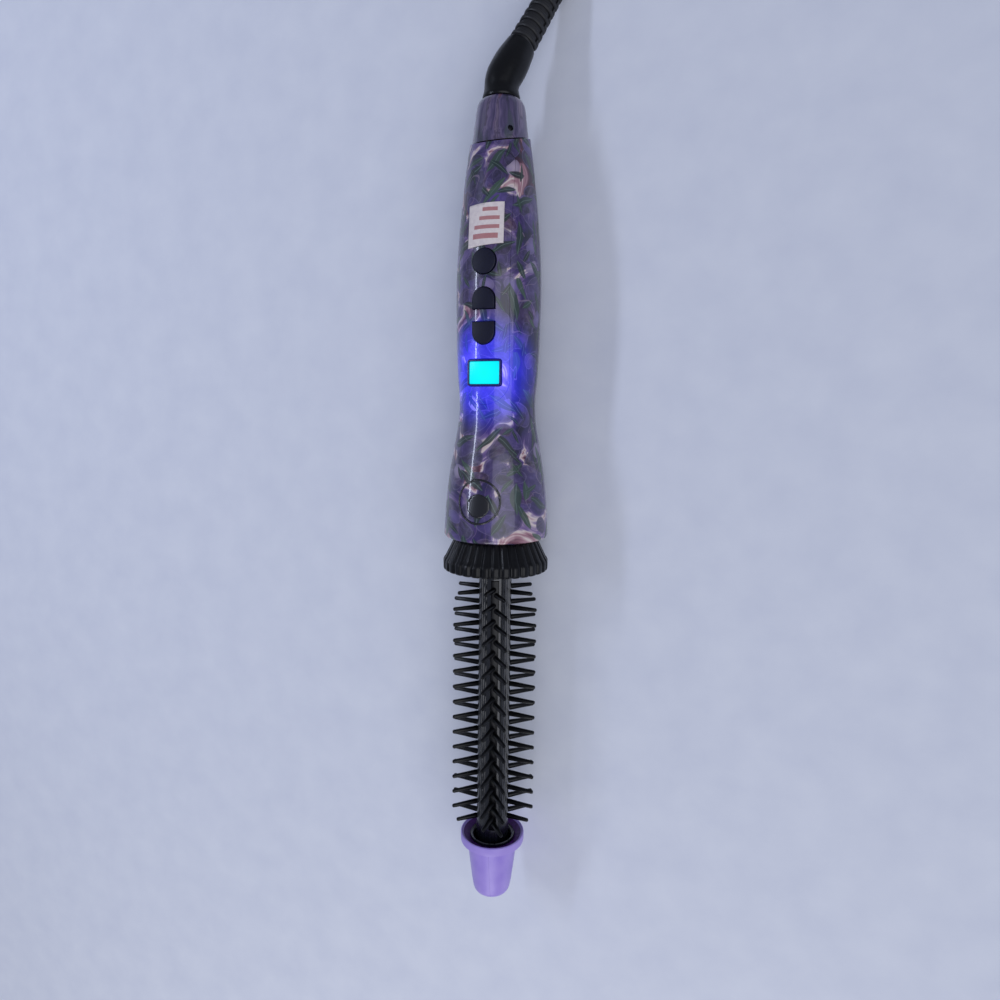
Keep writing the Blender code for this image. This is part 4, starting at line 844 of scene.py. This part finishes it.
# gloss black enamel on drawn aluminium: smooth, with very fine draw lines along the tube
enamel, enamel_shader = new_material("gloss_black_enamel")
enamel_place = add_node(enamel, "ShaderNodeTexCoord").outputs["Object"]
enamel_drawn = add_node(enamel, "ShaderNodeMapping", {"Vector": enamel_place, "Scale": (1.0, 0.02, 1.0)})
enamel_lines = add_node(enamel, "ShaderNodeTexNoise", {
    "Vector": enamel_drawn.outputs["Vector"], "Scale": 2600.0, "Detail": 3.0})
enamel.node_tree.links.new(ramp(enamel, enamel_lines.outputs["Fac"], [(0.3, "05060a"), (0.7, "0c0f18")]),
                           enamel_shader.inputs["Base Color"])
enamel.node_tree.links.new(add_node(enamel, "ShaderNodeMapRange", {
    "Value": enamel_lines.outputs["Fac"], "To Min": 0.16, "To Max": 0.34}).outputs[0],
    enamel_shader.inputs["Roughness"])
enamel.node_tree.links.new(add_node(enamel, "ShaderNodeBump", {
    "Height": enamel_lines.outputs["Fac"], "Strength": 0.12, "Distance": 0.00005}).outputs["Normal"],
    enamel_shader.inputs["Normal"])
enamel_shader.inputs["Coat Weight"].default_value = 0.5
enamel_shader.inputs["Coat Roughness"].default_value = 0.1
heated_tube.data.materials.append(enamel)

# ---------------------------------------------------------------- bristle strips
# Four black nylon strips, each moulded in one piece: a rail that slides into the barrel's slot, and
# sixteen rows of two splayed, tapered bristles with rounded ends; the end rows are shorter.
rail_face, rows, first_row, row_pitch, splay = 6.75, 16, 35.0, 6.65, math.radians(22)
root_radius, tip_radius, row_stagger, root_spacing, root_depth = 1.15, 0.75, 1.15, 0.3, 0.35


def one_bristle(side, hand, reach):
    """A tapered bristle with a rounded end, in the first row of a strip that faces straight up."""
    foot = rail_face - root_depth
    long = (reach - foot) / math.cos(splay)
    way = Vector((side * math.sin(splay), 0, math.cos(splay)))
    base = Vector((side * root_spacing * MM, lift(first_row + hand * side * row_stagger), axis_z + foot * MM))
    bpy.ops.object.select_all(action="DESELECT")
    bpy.ops.mesh.primitive_cone_add(
        vertices=10, radius1=root_radius * MM, radius2=tip_radius * MM, depth=long * MM,
        location=base + way * long * MM / 2, rotation=way.to_track_quat("Z", "Y").to_euler())
    made = bpy.context.object
    bpy.ops.object.transform_apply(location=True, rotation=True, scale=True)
    tip = base + way * long * MM
    for face in made.data.polygons:
        face.select = (face.center - tip).length < 0.1 * MM
    bpy.ops.object.mode_set(mode="EDIT")
    bpy.ops.mesh.select_mode(type="FACE")
    bpy.ops.mesh.bevel(offset=0.55 * MM, segments=2, profile=0.5, affect="EDGES")
    bpy.ops.object.mode_set(mode="OBJECT")
    bpy.ops.object.shade_smooth_by_angle(angle=math.radians(60))
    return made


def duplicate(piece, name):
    """A copy of a piece with its own mesh."""
    made = piece.copy()
    made.data = piece.data.copy()
    made.name = name
    bpy.context.collection.objects.link(made)
    return made


def moulded_strip(name, hand):
    """A whole strip that faces straight up. hand says which bristle of each row stands further on."""
    bpy.ops.object.select_all(action="DESELECT")
    bpy.ops.mesh.primitive_cube_add(
        size=1, location=(0, lift((rail_low + rail_high) / 2), axis_z + (rail_face - 1) * MM))
    rail = bpy.context.object
    rail.name = name
    rail.scale = (2 * rail_half * MM, (rail_high - rail_low) * MM, 2 * MM)
    bpy.ops.object.transform_apply(location=True, rotation=True, scale=True)
    soften(rail, 0.3 * MM, 2)
    bristles = []
    for side in (-1, 1):
        long_one, short_one = one_bristle(side, hand, 17.2), one_bristle(side, hand, 15.4)
        for row in range(rows):
            made = duplicate(short_one if row in (0, rows - 1) else long_one, "bristle")
            made.data.transform(Matrix.Translation((0, row * row_pitch * MM, 0)))
            bristles.append(made)
        bpy.data.objects.remove(long_one, do_unlink=True)
        bpy.data.objects.remove(short_one, do_unlink=True)
    bpy.ops.object.select_all(action="DESELECT")
    for piece in bristles + [rail]:
        piece.select_set(True)
    bpy.context.view_layer.objects.active = rail
    bpy.ops.object.join()
    rail.data.materials.clear()
    rail.data.materials.append(black_nylon)
    return rail


left_hand, right_hand = moulded_strip("bristle_strip_a", -1), moulded_strip("bristle_strip_b", 1)
strips = [left_hand, right_hand, duplicate(right_hand, "bristle_strip_c"), duplicate(left_hand, "bristle_strip_d")]
for number, (piece, bearing) in enumerate(zip(strips, strip_bearings), 1):
    middle = Matrix.Translation((0, 0, axis_z))
    piece.data.transform(middle @ Matrix.Rotation(bearing, 4, "Y") @ middle.inverted())
    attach(piece, "handle")
    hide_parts("bristle_strip_%d" % number)

# ---------------------------------------------------------------- cool tip
# A hollow lavender ABS grip that stays cool, with a stepped rim, a tapered body and a flat end. The sloping
# mouth inside its rim and its bore are painted dark purple as shade in the recess; a black funnel and a screw hold it
# on the barrel.
tip_line = [
    (12.4, 26.4), (12.9, 26.85), (13.3, 27.0), (13.65, 26.75), (13.7, 26.4), (13.7, 24.0), (13.6, 23.5), (13.2, 23.2),
    (11.3, 22.9), (10.75, 22.7), (10.6, 22.3), (10.5, 21.2), (9.9, 16.0), (9.25, 10.5), (8.6, 5.5), (8.05, 2.2),
    (7.7, 1.1), (7.2, 0.35), (6.5, 0.0), (0.0, 0.0), (0.0, 5.7), (1.6, 5.7), (1.6, 12.7), (7.6, 12.7), (7.6, 16.7),
    (9.8, 20.7), (9.8, 25.2),
]
cool_grip = turn_on_lathe("cool_grip", tip_line, 144, 40)
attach(cool_grip, "handle")
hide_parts("cool_tip")
lavender, lavender_shader = new_material("moulded_lavender_abs")
lavender_place = add_node(lavender, "ShaderNodeTexCoord").outputs["Object"]
lavender_grain = add_node(lavender, "ShaderNodeTexNoise", {"Vector": lavender_place, "Scale": 500.0, "Detail": 4.0})
lavender_cloud = add_node(lavender, "ShaderNodeTexNoise", {"Vector": lavender_place, "Scale": 90.0, "Detail": 2.0})
lavender_tone = ramp(lavender, lavender_cloud.outputs["Fac"], [(0.35, "9580d2"), (0.65, "a590da")])
lavender_split = add_node(lavender, "ShaderNodeSeparateXYZ", {0: lavender_place})
parting = maths(lavender, "MULTIPLY", maths(lavender, "LESS_THAN", maths(lavender, "ABSOLUTE", maths(
    lavender, "SUBTRACT", lavender_split.outputs["X"], 2.2 * MM)), 0.07 * MM), maths(
    lavender, "LESS_THAN", lavender_split.outputs["Y"], lift(22.9)))
lavender_tone = blended(lavender, maths(lavender, "MULTIPLY", parting, 0.45), lavender_tone, colour("5a45a0"))
lavender.node_tree.links.new(lavender_tone, lavender_shader.inputs["Base Color"])
lavender.node_tree.links.new(add_node(lavender, "ShaderNodeMapRange", {
    "Value": lavender_grain.outputs["Fac"], "To Min": 0.3, "To Max": 0.44}).outputs[0],
    lavender_shader.inputs["Roughness"])
lavender.node_tree.links.new(add_node(lavender, "ShaderNodeBump", {
    "Height": lavender_grain.outputs["Fac"], "Strength": 0.08, "Distance": 0.0001}).outputs["Normal"],
    lavender_shader.inputs["Normal"])
# painted shade: a dark purple stands in for the shade in the recessed mouth inside the rim and in the bore
recess_shade, recess_shade_shader = new_material("dark_purple_painted_recess_shade")
recess_shade_place = add_node(recess_shade, "ShaderNodeTexCoord").outputs["Object"]
recess_shade_grain = add_node(recess_shade, "ShaderNodeTexNoise", {"Vector": recess_shade_place, "Scale": 800.0, "Detail": 3.0})
recess_shade.node_tree.links.new(ramp(recess_shade, recess_shade_grain.outputs["Fac"], [(0.3, "3a0a58"), (0.7, "541578")]),
                         recess_shade_shader.inputs["Base Color"])
recess_shade_shader.inputs["Roughness"].default_value = 0.4
cool_grip.data.materials.append(lavender)
cool_grip.data.materials.append(recess_shade)
# the faces of the recessed mouth and the bore take the dark purple painted shade
for face in cool_grip.data.polygons:
    out = math.hypot(face.center.x, face.center.z - axis_z)
    if (out < 12.6 * MM and face.center.y > lift(24)) or (out < 8.2 * MM and face.center.y > lift(12)):
        face.material_index = 1

funnel_line = [(8.6, 26.1), (9.1, 26.3), (9.45, 26.05), (9.5, 25.6), (9.5, 21.2), (7.3, 17.2), (7.3, 13.0), (1.6, 13.0),
               (1.6, 19.0), (7.2, 19.0), (7.2, 23.4), (7.7, 24.9)]
funnel = turn_on_lathe("barrel_funnel", funnel_line, 96)
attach(funnel, "handle")
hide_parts("tip_insert")
funnel.data.materials.append(enamel)

# ---------------------------------------------------------------- cord swivel and strain relief
# The swivel is a black nylon elbow that turns in the end cap. The strain relief on it is a soft
# PVC boot moulded round the flex, with half rings on alternate sides that let it bend.
pivot = Vector((0, lift(333.0), axis_z))
bend, swivel_turn = math.radians(29.7), math.radians(41)
tilted = math.sin(bend) * Vector((math.cos(swivel_turn), 0, -math.sin(swivel_turn))) + Vector((0, math.cos(bend), 0))


def tapered_tube(name, stations):
    """A round tube through (point, radius) stations, with flat ends."""
    path = bpy.data.curves.new(name, "CURVE")
    path.dimensions = "3D"
    path.bevel_depth = MM
    path.bevel_resolution = 10
    path.use_fill_caps = True
    track = path.splines.new("POLY")
    track.points.add(len(stations) - 1)
    for point, (place, radius) in zip(track.points, stations):
        point.co, point.radius = (*place, 1), radius
    made = bpy.data.objects.new(name, path)
    bpy.context.collection.objects.link(made)
    bpy.ops.object.select_all(action="DESELECT")
    made.select_set(True)
    bpy.context.view_layer.objects.active = made
    bpy.ops.object.convert(target="MESH")
    bpy.ops.object.shade_smooth_by_angle(angle=math.radians(50))
    return bpy.context.object


def on_line(height):
    return Vector((0, lift(height), axis_z))


elbow_stations = [(on_line(300.5), 4.2), (on_line(301.0), 4.6), (on_line(325.4), 4.6), (on_line(325.5), 7.0),
                  (on_line(325.8), 7.25), (on_line(326.6), 7.3), (on_line(327.4), 7.05), (on_line(328.6), 6.75)]
for k in range(9):
    share = k / 8
    before, after = pivot - 3.2 * MM * Vector((0, 1, 0)), pivot + 3.2 * MM * tilted
    point = (1 - share) ** 2 * before + 2 * share * (1 - share) * pivot + share**2 * after
    elbow_stations.append((point, 6.55 + 0.35 * share))
elbow_stations += [(pivot + along * MM * tilted, radius) for along, radius in (
    (5.0, 6.9), (7.2, 6.88), (9.0, 6.75), (11.2, 6.45), (13.5, 6.1), (15.2, 5.85), (15.7, 5.7), (16.0, 5.4))]
elbow = tapered_tube("swivel_elbow_shell", elbow_stations)
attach(elbow, "swivel")
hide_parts("swivel_elbow")
elbow.data.materials.append(black_nylon)

boot_line = [(0, 349.3), (4.6, 349.3), (4.75, 349.6), (4.7, 352.0), (3.95, 380.5), (3.9, 382.4), (3.7, 383.0),
             (0, 383.0)]
boot = turn_on_lathe("cord_boot", list(reversed(boot_line)), 48)
half_rings = []
for k in range(18):
    along = 350.7 + 1.76 * k
    outside = 5.5 - 0.9 * k / 17
    ring_line = [(3.4, along + 0.8), (outside - 0.35, along + 0.8), (outside, along + 0.45), (outside, along - 0.45),
                 (outside - 0.35, along - 0.8), (3.4, along - 0.8)]
    ring = draw_line("half_ring", [(r * MM, lift(h), axis_z) for r, h in ring_line])
    bpy.ops.object.mode_set(mode="EDIT")
    bpy.ops.mesh.select_all(action="SELECT")
    bpy.ops.mesh.edge_face_add()
    bpy.ops.mesh.spin(steps=24, angle=math.radians(205), center=(0, 0, axis_z), axis=(0, 1, 0))
    bpy.ops.mesh.select_all(action="SELECT")
    bpy.ops.mesh.remove_doubles(threshold=0.000002)
    bpy.ops.mesh.normals_make_consistent(inside=False)
    bpy.ops.object.mode_set(mode="OBJECT")
    bpy.ops.object.transform_apply(location=True, rotation=True, scale=True)
    middle = Matrix.Translation((0, 0, axis_z))
    ring.data.transform(middle @ Matrix.Rotation(math.radians(200 if k % 2 else 20), 4, "Y") @ middle.inverted())
    bpy.ops.object.shade_smooth_by_angle(angle=math.radians(40))
    half_rings.append(ring)
bpy.ops.object.select_all(action="DESELECT")
for piece in half_rings + [boot]:
    piece.select_set(True)
bpy.context.view_layer.objects.active = boot
bpy.ops.object.join()
boot.data.transform(Matrix.Translation(pivot) @ Vector((0, 1, 0)).rotation_difference(tilted).to_matrix().to_4x4()
                    @ Matrix.Translation(-pivot))
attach(boot, "swivel")
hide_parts("strain_relief")
boot.data.materials.clear()
boot.data.materials.append(jacket)

# ---------------------------------------------------------------- plug and cord tie
# A moulded PVC plug with finger ridges and a ribbed tail, and two folded nickel-plated blades. The
# strap round one side of the hank is a black hook-and-loop tie.
plug_low, plug_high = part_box("plug_body")
plug_x, plug_z = (plug_low.x + plug_high.x) / 2, (plug_low.z + plug_high.z) / 2
body_start = plug_high.y - 26 * MM
plug = big_block("moulded_plug", (plug_x - 11 * MM, body_start, plug_z - 6.5 * MM),
                 (plug_x + 11 * MM, plug_high.y, plug_z + 6.5 * MM))
bpy.ops.object.transform_apply(location=True, rotation=True, scale=True)
bpy.ops.object.mode_set(mode="EDIT")
bpy.ops.mesh.select_all(action="SELECT")
bpy.ops.mesh.bevel(offset=2.4 * MM, segments=4, profile=0.6, affect="EDGES")
bpy.ops.object.mode_set(mode="OBJECT")
for k in range(5):
    for side in (-1, 1):
        near = body_start + (6 + 3.0 * k) * MM
        carve(plug, big_block("finger_groove", (plug_x + side * 11 * MM - 0.5 * MM, near, plug_z - 5 * MM),
                              (plug_x + side * 11 * MM + 0.5 * MM, near + 1.3 * MM, plug_z + 5 * MM)))
tail_line = [(0, 0.2), (3.9, 0.2), (4.15, 0.5), (4.2, 1.4)]
for k in range(4):
    start, wide = 1.6 + 2.7 * k, 4.25 + 0.3 * k
    tail_line += [(wide - 0.75, start), (wide - 0.75, start + 0.7), (wide + 0.1, start + 0.9),
                  (wide + 0.2, start + 2.3)]
tail_line += [(5.5, 12.6), (5.6, 15.4), (0, 15.4)]
plug_tail = turn_on_lathe("plug_tail", [(r, 0 + h) for r, h in reversed(tail_line)], 48)
plug_tail.data.transform(Matrix.Translation((plug_x, plug_low.y - tip_end, plug_z - axis_z)))
carve(plug, plug_tail, "UNION")
bpy.ops.object.shade_smooth_by_angle(angle=math.radians(40))
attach(plug, "handle")
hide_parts("plug_body")
plug.data.materials.clear()
plug.data.materials.append(jacket)

nickel, nickel_shader = new_material("nickel_plate")
nickel_place = add_node(nickel, "ShaderNodeTexCoord").outputs["Object"]
nickel_wipes = add_node(nickel, "ShaderNodeTexNoise", {"Vector": nickel_place, "Scale": 1800.0, "Detail": 3.0})
nickel.node_tree.links.new(ramp(nickel, nickel_wipes.outputs["Fac"], [(0.3, "a9a79f"), (0.7, "c4c2ba")]),
                           nickel_shader.inputs["Base Color"])
nickel_shader.inputs["Metallic"].default_value = 1.0
nickel.node_tree.links.new(add_node(nickel, "ShaderNodeMapRange", {
    "Value": nickel_wipes.outputs["Fac"], "To Min": 0.2, "To Max": 0.38}).outputs[0], nickel_shader.inputs["Roughness"])
for which in ("left", "right"):
    node = "plug_blade_" + which
    low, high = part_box(node)
    blade = big_block("folded_blade_" + which, low, high)
    bpy.ops.object.transform_apply(location=True, rotation=True, scale=True)
    soften(blade, 0.3 * MM, 2)
    bpy.ops.object.select_all(action="DESELECT")
    bpy.ops.mesh.primitive_cylinder_add(vertices=32, radius=1.6 * MM, depth=10 * MM, rotation=(0, math.pi / 2, 0),
                                        location=((low.x + high.x) / 2, high.y - 4 * MM, (low.z + high.z) / 2))
    carve(blade, bpy.context.object)
    bpy.ops.object.shade_smooth_by_angle(angle=math.radians(35))
    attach(blade, "handle")
    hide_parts(node)
    blade.data.materials.append(nickel)

tie_low, tie_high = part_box("cord_tie")


def strap_line(grow, corner):
    """The strap's outline seen along the cord, a rounded oblong, in metres."""
    low_x, high_x, low_z, high_z = tie_low.x - grow, tie_high.x + grow, tie_low.z - grow, tie_high.z + grow
    line = []
    for x, z, start in ((high_x - corner, high_z - corner, 0), (low_x + corner, high_z - corner, 90),
                        (low_x + corner, low_z + corner, 180), (high_x - corner, low_z + corner, 270)):
        for k in range(9):
            a = math.radians(start + 90 * k / 8)
            line.append((x + corner * math.cos(a), z + corner * math.sin(a)))
    return line


def strap_solid(name, grow, corner, near, far):
    solid = draw_line(name, [(x, near, z) for x, z in strap_line(grow, corner)])
    bpy.ops.object.mode_set(mode="EDIT")
    bpy.ops.mesh.select_all(action="SELECT")
    bpy.ops.mesh.edge_face_add()
    bpy.ops.mesh.extrude_region_move(TRANSFORM_OT_translate={"value": (0, far - near, 0)})
    bpy.ops.mesh.select_all(action="SELECT")
    bpy.ops.mesh.normals_make_consistent(inside=False)
    bpy.ops.object.mode_set(mode="OBJECT")
    bpy.ops.object.transform_apply(location=True, rotation=True, scale=True)
    return solid


strap = strap_solid("hook_and_loop_tie", 0, 3.4 * MM, tie_low.y, tie_high.y)
carve(strap, strap_solid("strap_mouth", -1.0 * MM, 2.4 * MM, tie_low.y - 0.01, tie_high.y + 0.01))
soften(strap, 0.3 * MM, 2)
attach(strap, "handle")
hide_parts("cord_tie")
loops, loops_shader = new_material("black_hook_and_loop_fabric")
loops_place = add_node(loops, "ShaderNodeTexCoord").outputs["Object"]
loops_cells = add_node(loops, "ShaderNodeTexVoronoi", {"Vector": loops_place, "Scale": 2200.0})
loops.node_tree.links.new(ramp(loops, loops_cells.outputs["Distance"], [(0.1, "08080a"), (0.8, "26262b")]),
                          loops_shader.inputs["Base Color"])
loops_shader.inputs["Roughness"].default_value = 0.92
loops_shader.inputs["Sheen Weight"].default_value = 0.5
loops.node_tree.links.new(add_node(loops, "ShaderNodeBump", {
    "Height": loops_cells.outputs["Distance"], "Strength": 0.8, "Distance": 0.0003}).outputs["Normal"],
    loops_shader.inputs["Normal"])
strap.data.materials.append(loops)

# ---------------------------------------------------------------- heater, boards, screws and contacts
# What the shells hide: glass-epoxy boards with moulded components, zinc-plated screws, a ceramic
# heater and sleeve, brass slip rings with their brushes, and silicone-covered leads.


def grained(name, dark, light, scale, rough_low, rough_high, metal=0.0, bump=0.2):
    """A part finish with fine grain in its colour, its roughness and its surface."""
    finish, shader = new_material(name)
    place = add_node(finish, "ShaderNodeTexCoord").outputs["Object"]
    grain = add_node(finish, "ShaderNodeTexNoise", {"Vector": place, "Scale": scale, "Detail": 4.0})
    finish.node_tree.links.new(ramp(finish, grain.outputs["Fac"], [(0.3, dark), (0.7, light)]),
                               shader.inputs["Base Color"])
    finish.node_tree.links.new(add_node(finish, "ShaderNodeMapRange", {
        "Value": grain.outputs["Fac"], "To Min": rough_low, "To Max": rough_high}).outputs[0],
        shader.inputs["Roughness"])
    finish.node_tree.links.new(add_node(finish, "ShaderNodeBump", {
        "Height": grain.outputs["Fac"], "Strength": bump, "Distance": 0.00008}).outputs["Normal"],
        shader.inputs["Normal"])
    shader.inputs["Metallic"].default_value = metal
    return finish


solder_mask = grained("green_solder_mask", "0f3d22", "1a5a33", 700.0, 0.3, 0.45)
epoxy = grained("black_moulded_epoxy", "0c0c0e", "1b1b1e", 1500.0, 0.45, 0.7)
zinc = grained("zinc_plated_steel", "8d8f94", "b4b6ba", 1300.0, 0.25, 0.45, 1.0)
brass = grained("drawn_brass", "8a6a2c", "b08c42", 1100.0, 0.22, 0.4, 1.0)
ceramic = grained("fired_alumina", "cfcac0", "e4e0d8", 900.0, 0.5, 0.7)
silicone = grained("red_silicone", "8c1a18", "a82824", 1000.0, 0.5, 0.65)
fuse_glass = grained("fuse_glass", "b9c4c4", "d3dcdc", 500.0, 0.06, 0.14)
for finish, nodes in (
    (solder_mask, ("control_board", "power_board")),
    (epoxy, ("controller_chip", "display_module", "power_switch", "plus_switch", "minus_switch", "filter_capacitor",
             "triac", "relay")),
    (zinc, ("shell_screw_low", "shell_screw_high", "tip_screw", "swivel_retainer", "thermal_fuse")),
    (brass, ("slip_ring_1", "slip_ring_2", "brush_contact_1", "brush_contact_2")),
    (ceramic, ("insulating_sleeve", "heater_core", "heater_lead_neutral")),
    (silicone, ("heater_lead_live",)),
    (fuse_glass, ("mains_fuse", "thermistor")),
):
    for node in nodes:
        part = bpy.data.objects[node]
        for socket in part.material_slots:
            socket.material = finish
